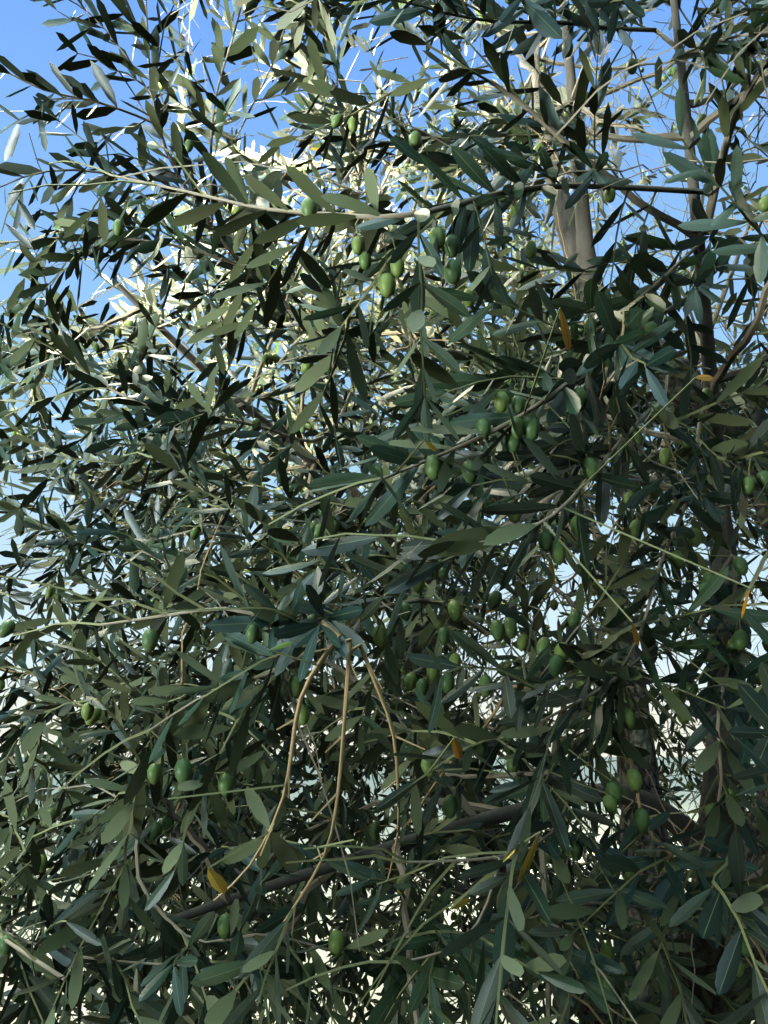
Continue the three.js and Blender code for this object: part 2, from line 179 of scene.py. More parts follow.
stemRule = {"radii": (0.0145, 0.008), "share": 0.55, "steady": 0.5}
twigRule = {"count": 11, "inward": -0.75, "reach": 0.66, "vary": 0.2, "first": 0.12, "fork": 0.5,
            "tries": (1, 0.75, 0.5), "tested": (0.3, 0.5, 0.75, 1), "radii": (0.007, 0.003)}
sprayRule = {"shares": (0.36, 0.66, 0.86), "length": 0.276, "vary": 0.07, "angle": 0.75}
seeds = {
    "first": 7919, "perMass": 104, "perTwig": 613, "factor": 16807, "modulus": 2147483647,
    "fine": 20261,                    # for all that only the scene has
}


def unit(vectors):
    return vectors / np.linalg.norm(vectors, axis=-1, keepdims=True)


def seededDraws(seed):                # repeatable draws between 0 and 1
    state = seed
    while True:
        state = state * seeds["factor"] % seeds["modulus"]
        yield state / seeds["modulus"]


def curveAt(handles, share):          # the point and direction at a share of a Bezier curve
    points = [Vector(point) for point in handles]
    while len(points) > 2:
        points = [here.lerp(there, share) for here, there in zip(points, points[1:])]
    return points[0].lerp(points[1], share), (points[1] - points[0]).normalized()


def placeOn(corners, share):          # the same on straight stretches between corners
    last = len(corners) - 1
    first = min(int(share * last), last - 1)
    along = corners[first + 1] - corners[first]
    return corners[first] + along * (share * last - first), along.normalized()


def lengthsAlong(points):             # how far along each corner is
    steps = [(there - here).length for here, there in zip(points, points[1:])]
    return np.concatenate(([0], np.cumsum(steps)))


def trunkMiddle(height):
    share = height / trunk["height"]
    (leanX, leanY), (most, aside) = trunk["lean"], trunk["sway"]
    sway = math.sin(math.pi * share) * most
    return Vector((leanX * share - sway, leanY * share + sway * aside, height))


def trunkRadius(height, angle):
    share = max(height, 0) / trunk["height"]
    twisted = angle + trunk["twist"] * share
    flare = trunk["flareReach"] * math.exp(-max(height, 0) / trunk["flareFade"])
    mean, lobe, uneven = trunk["lobes"]
    lobes = mean + lobe * math.cos(trunk["roots"] * angle + uneven * math.sin(2 * angle))
    fine, count, phase = trunk["fineFlutes"]
    waves = math.cos(trunk["flutes"] * twisted) + fine * math.cos(count * twisted + phase)
    flutes = trunk["fluteDepth"] * waves
    swell = trunk["forkSwell"] * share * share
    domed = max(share - trunk["dome"], 0) / (1 - trunk["dome"])
    return (trunk["waist"] + flare * lobes + flutes + swell) * math.sqrt(1 - trunk["closing"] * domed ** 2)


limbs = {}                            # name: Bezier handles and the radii at both ends


def tipOf(name):
    point, along = curveAt(limbs[name]["handles"], 1)
    return point + along * contactGap, along


def growLimbs():
    for name, bough in boughs.items():
        handles = [Vector(point) for point in bough["handles"] + [bough["tip"]]]
        if "from" in bough:
            start, along = tipOf(bough["from"])
            handles = [start, start + along * boughLead] + handles
        else:
            handles = [trunkMiddle(bough["height"])] + handles
        limbs[name] = {"handles": handles, "radii": bough["radii"]}
    for mass in masses:
        if mass["share"] < 1:
            start = curveAt(limbs[mass["carrier"]]["handles"], mass["share"])[0]
            tip = start.lerp(mass["heart"], limbRule["share"]) + Vector((0, 0, limbRule["lift"]))
            lift = limbRule["lift"] * (-1 / 3 if mass["habit"] == "upright" else 1)
            handle = start.lerp(tip, 0.5) + Vector((0, 0, lift))
            limbs[mass["limb"]] = {"handles": [start, handle, tip], "radii": limbRule["radii"]}


def massTable():
    places = []
    for ring in rings:
        for k in range(ring["masses"]):
            angle = math.radians(ring["first"] + 360 / ring["masses"] * k)
            heart = Vector((ring["out"] * math.cos(angle), ring["out"] * math.sin(angle), ring["height"]))
            places.append({"heart": heart, "reach": ring["reach"], "habit": ring["habit"]})
    for single in singles:
        places.append({**single, "heart": Vector(single["heart"])})
    for k, (place, (name, carrier, share)) in enumerate(zip(places, carriers)):
        limb = f"limb_{name}" if share < 1 else carrier
        seed = seeds["first"] + seeds["perMass"] * k
        place.update({"name": name, "carrier": carrier, "share": share, "limb": limb, "seed": seed})
    return places


masses = massTable()
growLimbs()


limbStep = 0.02                       # between the points that stand for the limbs
limbCorners = 50                      # that a limb's length is measured on


def pointsAlongLimbs():               # their middle and radius
    rows = [(*trunkMiddle(height), trunk["waist"]) for height in np.arange(0, trunk["height"], limbStep)]
    for limb in limbs.values():
        corners = [curveAt(limb["handles"], share)[0] for share in np.linspace(0, 1, limbCorners)]
        length = lengthsAlong(corners)[-1]
        for share in np.linspace(0, 1, math.ceil(length / limbStep) + 1):
            radius = limb["radii"][0] + (limb["radii"][1] - limb["radii"][0]) * share
            rows.append((*curveAt(limb["handles"], share)[0], radius))
    return np.array(rows)


limbPoints = pointsAlongLimbs()


# Which points lie in the mass's own space, this far clear of everything else. The slack lets them out of
# the crown's skin, and "past" lets them further from the mass's heart.
def isFree(points, mass, margin, slack=0.0, past=0.0):
    points = np.atleast_2d(points)
    climb = points[:, 2] - crown["height"]
    azimuth = np.arctan2(points[:, 1], points[:, 0])
    spread = crown["spread"] + slack
    for around, perHeight, phase, depth in crown["swells"]:
        spread = spread + crown["spread"] * depth * np.sin(around * azimuth + perHeight * climb + phase)
    closed = np.where(climb > 0, (climb / (crown["rise"] + slack)) ** 2, (climb / crown["skirt"]) ** 4)
    free = (points[:, 0] / spread) ** 2 + (points[:, 1] / spread) ** 2 + closed <= 1
    free &= points[:, 2] > crown["floor"] - slack
    free &= (points > np.array(cadBox[0]) - slack).all(1) & (points < np.array(cadBox[1]) + slack).all(1)
    own = ((points - mass["heart"]) ** 2).sum(1)
    free &= own < (mass["reach"] + slack + past) ** 2
    for other in masses:
        if other is not mass:
            apart = (other["heart"] - mass["heart"]).length
            free &= ((points - other["heart"]) ** 2).sum(1) - own > (margin - 2 * slack) * 2 * apart
    left = np.nonzero(free)[0]        # only these are measured to the limbs
    near = np.linalg.norm(points[left, None] - limbPoints[None, :, :3], axis=2) - limbPoints[None, :, 3]
    free[left] = (near > margin).all(1)
    return free


def stemOf(mass):
    start, along = tipOf(mass["limb"])
    outward = (mass["heart"] - start).normalized() + Vector((0, 0, habits[mass["habit"]]["stemRise"]))
    end = mass["heart"] + outward.normalized() * mass["reach"] * stemRule["share"]
    handle = (start + along * (end - start).length / 2).lerp(mass["heart"], stemRule["steady"])
    return [start, handle, end]


print("rule set out:", len(limbs), "limbs,", len(masses), "masses")

# Everything fine is gathered here first and joined into a few meshes at the end.
grown = {"tubes": [], "leaves": [], "olives": []}
chance = np.random.default_rng(seeds["fine"])
finer = {
    "apart": (0.115, 0.138),          # between the ends of two shoots, in view and elsewhere, metres
    "inView": 2.9,                    # how far from the camera still counts as in view
    "darts": 9000,                    # places tried in each mass
    "worth": (0.06, 0.2),             # fewer of them where the shoots stand wide
    "margin": 0.02,                   # between the ends of shoots and the next mass
    "outward": 2.5,                   # more shoots end near the crown's skin
    "bridges": (0.05, 0.36),          # the least and the most that a shoot bridges
    "back": 0.45,                     # how far a shoot follows the wood that it forks from
    "kink": 0.0016,                   # how far a twig wanders at each joint, metres
    "leafStep": 0.033,                # between two pairs of leaves
    "bare": 0.12,                     # share of a shoot with no leaves
    "slack": 0.025,                   # how far the finest twigs reach past the space of the solids
    "past": 0.13,                     # how far they fill the wedges under the crown's skin
    "fruit": 0.07,                    # share of the shoots that bear olives
    "nearest": 0.7,                   # in view, nothing grows closer to the camera than this
}
framePast = {"nearest": (16, 18), "grown": (36, 28), "leaves": (60, 60), "olives": (0, 0)}     # pixels
shoots = {                            # green shoots, and the smaller ones that stand on them
    "radii": [(0.0022, 0.0011), (0.0015, 0.0009)], "joints": [5, 3], "bow": 0.8, "tested": (0.4, 0.7, 1),
    "forks": 0.17,                    # only a longer shoot carries a smaller one
    "smaller": (0.3, 0.5, 0.85),      # where, how long as a share, and at what angle
}
# Where the crown is thinner or thicker in the photo: middle and reach in its pixels, and the space
# between shoots. "clear" is the least depth of anything there, and "leafy" the share of the shoots
# "behind" a depth that have leaves.
thickness = {
    "top": {"middle": (430, 50), "reach": (380, 220), "apart": 0.19},
    "topMiddle": {"middle": (500, 60), "reach": (150, 140), "apart": 0.2, "clear": 0.8, "behind": 0.95,
                  "leafy": 0.9},
    "topRight": {"middle": (700, 180), "reach": (160, 190), "apart": 0.3, "clear": 0.8, "behind": 0.95,
                 "leafy": 0.2},
    "topLeft": {"middle": (40, 140), "reach": (130, 200), "apart": 0.19, "behind": 1.6, "leafy": 0.35},
    "left": {"middle": (10, 480), "reach": (210, 170), "apart": 0.086},
    "rightMiddle": {"middle": (670, 430), "reach": (140, 80), "apart": 0.1},
    "middle": {"middle": (320, 580), "reach": (190, 100), "apart": 0.093},
    "right": {"middle": (640, 690), "reach": (190, 200), "apart": 0.16, "clear": 0.8, "behind": 0.95,
              "leafy": 0.36},
    "window": {"middle": (650, 600), "reach": (110, 95), "apart": 0.12, "clear": 0.95, "behind": 1.1,
               "leafy": 0.36},
    "low": {"middle": (330, 900), "reach": (600, 300), "apart": 0.098},
    "lowLeft": {"middle": (40, 870), "reach": (260, 240), "apart": 0.066},
}
leaves = {
    "length": (0.058, 0.084),         # metres
    "width": 0.23,                    # as a share of the length
    "widths": (0.85, 1.15),           # how much wider or narrower each is
    "opening": (0.42, 0.98),          # angle to the shoot, in radians
    "young": (0.72, 4),               # size of the youngest pair, and how many pairs are young
    "end": 0.7,                       # size of the leaf at a shoot's end
    "turn": 0.2,                      # how far each pair strays from a quarter turn
    "stray": 0.12,                    # how far a leaf strays from its angle
    "weight": 0.12,                   # how far it hangs
    "lift": 0.36,                     # how far its top turns up to the light
    "twist": 0.45,                    # how far its top turns by chance
    "bend": (0.06, 0.07),             # the middle and the spread of its curve, as shares of the length
    "ends": (-0.3, 1.5),              # how far it may cross into the next mass, and past the finest twigs
}


def pathOf(handles, steps, kink):     # a curve as corners that wander a little
    corners = [curveAt(handles, share)[0] for share in np.linspace(0, 1, steps + 1)]
    return [corners[0]] + [point + Vector(chance.normal(0, kink, 3)) for point in corners[1:]]


def addTube(path, radii, sides, kind):
    grown["tubes"].append((path, np.linspace(*radii, len(path)), sides, kind))


def leafOut(mass, path, tint, scale, first=None):      # pairs of leaves along a shoot
    corners = np.array(path)
    steps = np.linalg.norm(np.diff(corners, axis=0), axis=1)
    far = np.concatenate(([0], np.cumsum(steps)))
    bare = finer["bare"] * far[-1] if first is None else first
    places = np.arange(bare, far[-1], finer["leafStep"] * scale)
    turn = chance.random() * math.pi
    for n, place in enumerate(places):
        segment = min(np.searchsorted(far, place, side="right") - 1, len(steps) - 1)
        along = (corners[segment + 1] - corners[segment]) / steps[segment]
        point = corners[segment] + along * (place - far[segment])
        young, pairs = leaves["young"]
        grow = young + (1 - young) * min(1, (len(places) - n) / pairs)
        for half in (0, math.pi):
            grown["leaves"].append((mass, point, along, turn + half, grow * scale, tint))
        turn += math.pi / 2 + chance.normal(0, leaves["turn"])
    grown["leaves"].append((mass, corners[-1], along, turn, leaves["end"] * scale, tint))


def bowedCurve(point, end, habit, amount=1.0):
    bow = Vector(habit["pull"]) * -habit["bow"] * amount * (end - point).length
    return [point, point.lerp(end, 0.5) + bow, end]


def sideAim(place, turn, angle, length):      # where a shoot that leaves at an angle gets to
    point, along = place
    side = Quaternion(along, turn) @ reference.cross(along).normalized()
    return point + (along * math.cos(angle) + side * math.sin(angle)) * length


def inRegion(part, across, down):
    (middleX, middleY), (reachX, reachY) = part["middle"], part["reach"]
    return ((across - middleX) / reachX) ** 2 + ((down - middleY) / reachY) ** 2 < 1


def seenPoint(point):
    return (float(value[0]) for value in seenAt(np.array([tuple(point)])))


def isTooNear(point):                 # closer to the camera than the foliage of the photo
    across, down, depth = seenPoint(point)
    if depth < 0 or not inFrame(across, down, framePast["nearest"]):
        return False
    least = finer["nearest"]
    for part in thickness.values():
        if "clear" in part and inRegion(part, across, down):
            least = max(least, part["clear"])
    return depth < least


def isLeafy(point):                   # the shaded wood inside the crown is bare in places
    across, down, depth = seenPoint(point)
    share = 1
    for part in thickness.values():
        if "leafy" in part and depth > part["behind"] and inRegion(part, across, down):
            share = min(share, part["leafy"])
    return chance.random() < share


# Some sprays far up on the left take the light grey sunlit tints, in photo pixels and metres from the
# camera: partly the leaves' own grey-white, partly painted sunlight on them.
sunlitSilver = {"middle": (215, 190), "reach": (165, 185), "from": 1.55, "share": 0.5}
# Where each kind of colour stands in the list of the leaves' materials.
tintPlaces = {
    "dark": (0, 6), "sunlitPale": (6, 9), "under": 9, "sunlitPaleUnder": 12, "turned": 15, "sunlitSilvery": (18, 20),
}


def tintFor(mass, end):               # a spray's colour: the leaves' own green, lighter as painted sunlight on many sprays up in the crown and on the sprays far up on the left
    across, down, depth = seenPoint(end)
    if depth > sunlitSilver["from"] and inRegion(sunlitSilver, across, down) and chance.random() < sunlitSilver["share"]:
        return chance.integers(*tintPlaces["sunlitSilvery"])
    isSunlitPale = chance.random() < habits[mass["habit"]]["sunlitPale"]
    return chance.integers(*tintPlaces["sunlitPale" if isSunlitPale else "dark"])


def growShoot(mass, point, end, tint, level=0):        # one leafy shoot, and a smaller one on it
    habit = habits[mass["habit"]]
    if isTooNear(end):
        return
    for part in twigRule["tries"]:
        handles = bowedCurve(point, point.lerp(end, part), habit, shoots["bow"])
        tests = [curveAt(handles, share)[0] for share in shoots["tested"]]
        if isFree(tests, mass, crown["clearance"], finer["slack"], finer["past"]).all():
            break
    else:
        return
    length = (end - point).length * part
    path = pathOf(handles, shoots["joints"][level], finer["kink"])
    addTube(path, shoots["radii"][level], 3, "green")
    if isLeafy(end):
        leafOut(mass, path, tint, 1)
    addWood(mass, path)
    if chance.random() < finer["fruit"]:
        hangOlives(path, 1)
    if level == 0 and length > shoots["forks"]:
        share, part, angle = shoots["smaller"]
        place = placeOn(path, share)
        aim = sideAim(place, chance.random() * 2 * math.pi, angle, length * part)
        growShoot(mass, place[0], aim, tint, 1)


def addWood(mass, path):              # what later shoots may fork from
    for here, there in zip(path, path[1:]):
        mass["wood"].append((*here.lerp(there, 0.5), *(there - here).normalized()))


def twigTarget(mass, k, spin, out):   # places spread evenly round the heart, on a spiral
    height = 1 - 2 * (k + 0.5) / twigRule["count"]
    across = math.sqrt(1 - height * height)
    angle = goldenAngle * k + spin
    aim = Vector((across * math.cos(angle), across * math.sin(angle), height))
    return aim, mass["heart"] + aim * mass["reach"] * out


def forkShare(corners, target):
    whole = corners[-1] - corners[0]
    reached = (target - corners[0]).dot(whole) / whole.length_squared
    aside = (target - corners[0] - whole * reached).length / whole.length
    return min(max(reached - twigRule["fork"] * aside, twigRule["first"]), 1)


def fittedTwig(mass, point, target):
    for part in twigRule["tries"]:
        handles = bowedCurve(point, point.lerp(target, part), habits[mass["habit"]])
        tests = [curveAt(handles, share)[0] for share in twigRule["tested"]]
        if isFree(tests, mass, crown["clearance"] + twigRule["radii"][0]).all():
            return handles


def growMass(mass):
    mass["stem"] = stemOf(mass)
    corners = [curveAt(mass["stem"], share)[0] for share in np.linspace(0, 1, 5)]
    inwards = (corners[0] - mass["heart"]).normalized()
    spin = next(seededDraws(mass["seed"])) * 2 * math.pi
    mass["wood"] = []
    addWood(mass, corners[1:])
    for k in range(twigRule["count"]):
        draw = seededDraws(mass["seed"] + seeds["perTwig"] * (k + 1))
        out = twigRule["reach"] + twigRule["vary"] * (next(draw) - 0.5)
        aim, target = twigTarget(mass, k, spin, out)
        if aim.dot(inwards) <= -twigRule["inward"]:
            handles = fittedTwig(mass, placeOn(corners, forkShare(corners, target))[0], target)
            if handles:
                growTwig(mass, handles, draw)


twigs = {"joints": 9, "kink": 0.00256, "leafyFrom": 5, "leaf": 1.1, "bare": 0.02, "fruit": 4}


def growTwig(mass, handles, draw):    # a twig of the source's rule, with its four sprays
    sprayLength = sprayRule["length"] + sprayRule["vary"] * (next(draw) - 0.5)
    next(draw)                        # the roll of the solid's end leaf
    path = pathOf(handles, twigs["joints"], twigs["kink"])
    addTube(path, twigRule["radii"], 5, "old")
    addWood(mass, path)
    tint = tintFor(mass, path[-1])
    along = (path[-1] - path[-2]).normalized()
    growShoot(mass, path[-1], path[-1] + along * sprayLength, tint)
    if isLeafy(path[-1]):
        leafOut(mass, path[twigs["leafyFrom"]:], tint, twigs["leaf"], first=twigs["bare"])
    corners = [curveAt(handles, share)[0] for share in (0, 0.5, 1)]
    for n, share in enumerate(sprayRule["shares"]):
        turn = math.pi * n + next(draw)
        length = sprayRule["length"] + sprayRule["vary"] * (next(draw) - 0.5)
        next(draw)                    # the roll of the solid's leaf
        place = (placeOn(path, share)[0], placeOn(corners, share)[1])
        growShoot(mass, place[0], sideAim(place, turn, sprayRule["angle"], length), tint)
    hangOlives(path, chance.integers(twigs["fruit"]))


def spacingAt(places):                # how far apart shoots end at these places
    across, down, depth = seenAt(places)
    inView = inFrame(across, down, framePast["grown"]) & (depth > 0) & (depth < finer["inView"])
    apart = np.where(inView, *finer["apart"])
    for part in thickness.values():
        apart = np.where(inView & inRegion(part, across, down), part["apart"], apart)
    return apart


def fillMass(mass):                   # shoots to places spread evenly through the mass's space
    aims = unit(chance.normal(size=(finer["darts"], 3)))
    out = (mass["reach"] + finer["past"]) * chance.random(finer["darts"]) ** (1 / finer["outward"])
    places = aims * out[:, None] + np.array(mass["heart"])
    apart = spacingAt(places)
    worth = apart < chance.uniform(*finer["worth"], len(places))
    places, apart = places[worth], apart[worth]
    own = isFree(places, mass, finer["margin"], 0, finer["past"])
    places, apart = places[own], apart[own]
    taken = [tuple(row[:3]) for row in mass["wood"][4::3]]
    kept = []
    for place, space in zip(places, apart):
        gaps = np.linalg.norm(np.array(taken) - place, axis=1)
        if gaps.min() > space:
            taken.append(tuple(place))
            kept.append(place)
    wood = np.array(mass["wood"])[:, :3]
    kept.sort(key=lambda place: np.linalg.norm(wood - place, axis=1).min())
    for place in kept:
        wood = np.array(mass["wood"])
        gaps = np.linalg.norm(wood[:, :3] - place, axis=1)
        nearest = wood[gaps.argmin()]
        way = gaps.min()
        if finer["bridges"][0] < way < finer["bridges"][1]:
            start = Vector(nearest[:3])
            rise = Vector((0, 0, habits[mass["habit"]]["lift"]))
            end = Vector(place) + (Vector(nearest[3:]) * finer["back"] + rise) * way
            growShoot(mass, start, end, tintFor(mass, end))


# Thin bare twigs between the leafy shoots, so many in view and elsewhere in each mass.
bareTwigs = {
    "count": (80, 10), "inView": 2.2, "length": (0.1, 0.36), "radii": (0.0016, 0.0008), "drop": 0.35,
    "joints": 6, "kink": 0.004, "dead": 0.35,
}


def growBare(mass):
    joints = np.array(mass["wood"])[:, :3]
    across, down, depth = seenAt(joints)
    seen = inFrame(across, down, framePast["grown"]) & (depth > 0) & (depth < bareTwigs["inView"])
    for chosen, most in zip((np.nonzero(seen)[0], np.nonzero(~seen)[0]), bareTwigs["count"]):
        for joint in joints[chance.choice(chosen, most)] if len(chosen) else ():
            aim = Vector(chance.normal(size=3)) - Vector((0, 0, bareTwigs["drop"]))
            end = Vector(joint) + aim.normalized() * chance.uniform(*bareTwigs["length"])
            free = isFree([end], mass, crown["clearance"], finer["slack"], finer["past"])[0]
            if free and not isTooNear(end):
                curve = bowedCurve(Vector(joint), end, habits["hanging"])
                path = pathOf(curve, bareTwigs["joints"], bareTwigs["kink"])
                kind = "dead" if chance.random() < bareTwigs["dead"] else "old"
                addTube(path, bareTwigs["radii"], 3, kind)


fruit = {
    "length": 0.026, "width": 0.0188, "tints": 3, "smallest": 0.82, "vary": 0.3, "hangs": (0.2, 0.7),
    "bunches": (1, 1, 2, 3), "swing": 0.4, "stalk": 0.026, "stalks": (0.6, 0.8), "kink": 0.002,
    "radii": (0.0009, 0.0008), "longestStalk": 0.06,
    "below": (0.93, 1.04),            # how much narrower its lower half is, and where its tip is
    "inView": 1.6,                    # metres from the camera within which they have more faces
    "aside": (1.0, 0.2, 0.1),         # what its corners are set out from
}


def hangOlives(path, most):           # ones to threes, each on its own stalk
    first, along = fruit["hangs"]
    shortest, vary = fruit["stalks"]
    for share in chance.random(most) * along + first:
        point = placeOn(path, share)[0]
        for _ in range(chance.choice(fruit["bunches"])):
            out = Vector((*chance.normal(0, fruit["swing"], 2), -1)).normalized()
            addOlive(point, point + out * fruit["stalk"] * (shortest + vary * chance.random()), out)


def addOlive(point, end, out):
    middle = point.lerp(end, 0.5) + Vector(chance.normal(0, fruit["kink"], 3))
    addTube([point, middle, end], fruit["radii"], 3, "green")
    size = fruit["smallest"] + fruit["vary"] * chance.random()
    grown["olives"].append((end, out, size, chance.integers(fruit["tints"])))


for mass in masses:
    growMass(mass)

# The twigs that the photo shows in front: the pixels that each passes through, its depth at its start, in
# its middle and at its end, and its radii. Each is joined to the nearest wood. Those named dead are bare.
photoTwigs = {
    "rightFork": ([(706, 232), (714, 190), (735, 110), (768, 60), (800, 10)],
                  (1.24, 1.16, 1.1), (0.008, 0.003)),
    "fruiting": ([(704, 192), (640, 188), (560, 185), (500, 192), (430, 212), (384, 218), (265, 210),
                  (180, 190), (110, 175)], (1.22, 0.8, 1.02), (0.0046, 0.0014)),
    "upperDiagonal": ([(704, 240), (650, 290), (600, 330), (560, 352)],
                      (1.23, 1.0, 0.9), (0.0036, 0.0014)),
    "lowerDiagonal": ([(708, 285), (655, 318), (624, 342), (575, 378), (522, 417), (460, 447),
                       (384, 478)], (1.22, 0.8, 0.74), (0.0042, 0.0014)),
    "middlePale": ([(650, 410), (608, 455), (557, 516), (496, 544), (440, 541)],
                   (0.95, 0.74, 0.72), (0.0026, 0.0012)),
    "topLeft": ([(655, 30), (600, 28), (560, 20), (500, 24), (440, 12)],
                (1.25, 1.05, 0.95), (0.004, 0.0015)),
    "topRight": ([(672, 60), (700, 45), (740, 35), (790, 30)], (1.24, 1.1, 1.0), (0.003, 0.0014)),
    "leftLimb": ([(330, 350), (280, 300), (240, 265), (215, 230), (170, 165), (158, 125), (150, 90),
                  (148, 40), (145, -10)], (1.5, 1.35, 1.3), (0.0058, 0.0015)),
    "leftFork": ([(212, 222), (210, 150), (215, 90), (230, 50), (244, -5)],
                 (1.37, 1.33, 1.3), (0.003, 0.0013)),
    "leftForkGreen": ([(235, 140), (255, 100), (275, 60), (290, 10)], (1.36, 1.33, 1.3), (0.002, 0.0011)),
    "leftTip": ([(158, 125), (125, 110), (85, 98), (45, 93), (0, 68)],
                (1.33, 1.27, 1.2), (0.0024, 0.0011)),
    "leftOuter": ([(150, 95), (130, 60), (105, 30), (90, 10), (60, -5)],
                  (1.33, 1.3, 1.26), (0.0022, 0.0011)),
    "leftHigh": ([(200, 197), (160, 185), (110, 173), (65, 168), (30, 172), (0, 187)],
                 (1.36, 1.27, 1.2), (0.0028, 0.0012)),
    "centreHigh": ([(368, 190), (355, 140), (345, 95), (330, 50), (312, 0)],
                   (1.7, 1.66, 1.6), (0.0036, 0.0014)),
    "rightSide": ([(704, 230), (735, 235), (768, 262)], (1.22, 1.16, 1.1), (0.0026, 0.0013)),
    "leftMiddle": ([(240, 265), (180, 245), (90, 235), (0, 243)], (1.35, 1.25, 1.2), (0.003, 0.0014)),
    "leftDiagonal": ([(300, 440), (240, 420), (150, 410), (75, 370), (50, 300)],
                     (1.35, 1.2, 1.22), (0.0036, 0.0014)),
    "middle": ([(420, 600), (384, 605), (340, 620), (290, 628), (230, 605), (190, 612), (100, 625)],
               (0.98, 0.8, 0.86), (0.0036, 0.0013)),
    "middleLower": ([(320, 640), (290, 670), (210, 690), (150, 730)],
                    (0.86, 0.84, 0.84), (0.0026, 0.0012)),
    "deadLeft": ([(340, 635), (300, 690), (285, 800), (250, 870), (215, 900)],
                 (0.77, 0.75, 0.77), (0.003, 0.0011)),
    "deadMiddle": ([(350, 640), (346, 700), (340, 780), (330, 850), (260, 960)],
                   (0.79, 0.77, 0.8), (0.0026, 0.0011)),
    "deadRight": ([(360, 645), (395, 730), (400, 830), (388, 880)], (0.8, 0.79, 0.82), (0.0028, 0.0011)),
    "rightHanging": ([(700, 420), (690, 500), (660, 560), (640, 640), (600, 700)],
                     (1.22, 0.95, 0.9), (0.004, 0.0014)),
    "rightLow": ([(735, 560), (735, 640), (715, 720), (725, 790), (700, 850)],
                 (1.15, 0.9, 0.85), (0.004, 0.0014)),
    "centreLow": ([(450, 760), (510, 720), (560, 650), (600, 600)], (1.0, 0.95, 0.95), (0.003, 0.0013)),
    "lowArc": ([(655, 645), (625, 672), (600, 690), (560, 712), (512, 735)],
               (0.95, 0.86, 0.82), (0.0028, 0.0013)),
    "lowFork": ([(580, 760), (570, 800), (555, 835), (530, 852), (500, 858), (440, 862), (400, 862)],
                (1.0, 0.84, 0.8), (0.0028, 0.0012)),
    "lowStem": ([(500, 858), (490, 900), (470, 940), (440, 955), (400, 962)],
                (0.83, 0.8, 0.79), (0.0022, 0.0012)),
    "deadLow": ([(637, 790), (640, 830), (690, 870), (720, 920), (765, 985)],
                (1.05, 1.0, 0.95), (0.003, 0.0012)),
    "deadArc": ([(510, 685), (490, 725), (455, 755), (430, 790), (408, 825)],
                (0.98, 0.98, 1.0), (0.0026, 0.0011)),
    "bottomLeft": ([(150, 900), (195, 950), (260, 930), (330, 950)],
                   (0.92, 0.86, 0.86), (0.0028, 0.0012)),
    "bottomFarLeft": ([(0, 930), (60, 955), (120, 962), (180, 965)], (1.0, 0.95, 0.9), (0.0026, 0.0012)),
    "bottomRight": ([(500, 930), (550, 915), (590, 900), (660, 910)],
                    (0.95, 0.88, 0.84), (0.0028, 0.0012)),
}
photoOlives = {                       # the olives on each, by their pixels
    "fruiting": [(437, 237), (452, 245), (515, 215), (530, 250), (397, 268), (387, 284), (452, 270),
                 (470, 298), (358, 247), (365, 262), (310, 207), (610, 195), (119, 228)],
    "upperDiagonal": [(590, 327), (570, 340), (650, 330), (668, 325)],
    "lowerDiagonal": [(544, 542), (556, 552), (469, 472), (578, 528), (502, 403), (519, 406),
                      (516, 428), (530, 426), (513, 442), (484, 430), (433, 467), (513, 512),
                      (588, 469), (579, 398)],
    "topLeft": [(568, 49), (632, 66), (586, 100), (416, 141)],
    "leftMiddle": [(190, 147), (194, 222), (238, 213)],
    "leftDiagonal": [(256, 425), (196, 535)],
    "middle": [(150, 640), (252, 635), (313, 625), (380, 635), (296, 686), (302, 716), (418, 582),
               (405, 612)],
    "middleLower": [(225, 785), (154, 775), (182, 770)],
    "rightHanging": [(692, 690), (684, 716), (657, 494), (637, 440), (687, 440), (706, 430), (738, 566),
                     (679, 699), (676, 560), (708, 582), (661, 411), (707, 395), (667, 456), (638, 529),
                     (712, 515), (693, 537), (704, 592), (627, 719), (594, 707), (577, 621), (564, 653),
                     (547, 648), (559, 665)],
    "rightLow": [(713, 815), (731, 799), (756, 675), (768, 645), (767, 590), (642, 820), (741, 946),
                 (734, 966), (633, 780), (612, 793), (608, 806)],
    "centreLow": [(434, 670), (449, 682), (424, 688), (412, 682), (456, 663), (486, 685), (444, 637),
                  (454, 610), (497, 630), (509, 628), (524, 644), (508, 745), (512, 766), (480, 746),
                  (577, 853), (451, 805)],
    "bottomLeft": [(308, 975), (336, 942), (226, 925), (257, 815)],
    "bottomFarLeft": [(38, 865), (6, 945), (12, 630), (88, 712)],
    "bottomRight": [(475, 959), (527, 942), (607, 988), (650, 968), (608, 955)],
}
largeLeaves = {"upperDiagonal": 1.15, "lowerDiagonal": 1.22, "middlePale": 1.2}
photoShoots = {
    "apart": (0.045, 0.085), "length": (0.09, 0.19), "angle": (0.5, 1.0), "first": 0.12, "leafyFrom": 0.3,
    "droop": 0.25, "end": 0.12, "bow": 0.6, "joints": 4, "radii": (0.0018, 0.001),
    "spur": (0.12, 0.22), "spurRadii": (0.0012, 0.0008),           # on the dead ones
    "step": 22, "fewest": 8,          # photo pixels between two joints of a twig, and least count
    "lead": 0.03, "leadOut": 0.4,     # joints and bow of the stretch to the nearest wood
    "joined": 0.006,                  # needs no such stretch
}


def photoPath(pixels, depths):        # corners every few centimetres, smoothed through the pixels
    line = np.array(pixels, float)
    steps = np.concatenate(([0], np.cumsum(np.linalg.norm(np.diff(line, axis=0), axis=1))))
    shares = steps / steps[-1]
    wanted = np.linspace(0, 1, max(photoShoots["fewest"], int(steps[-1] / photoShoots["step"])))
    across, down = np.interp(wanted, shares, line[:, 0]), np.interp(wanted, shares, line[:, 1])
    depth = np.interp(wanted, (0, 0.5, 1), depths)
    places = np.array([tuple(placeSeen(*row)) for row in zip(across, down, depth)])
    places[1:-1] = (places[:-2] + 2 * places[1:-1] + places[2:]) / 4
    return [Vector(place) for place in places]


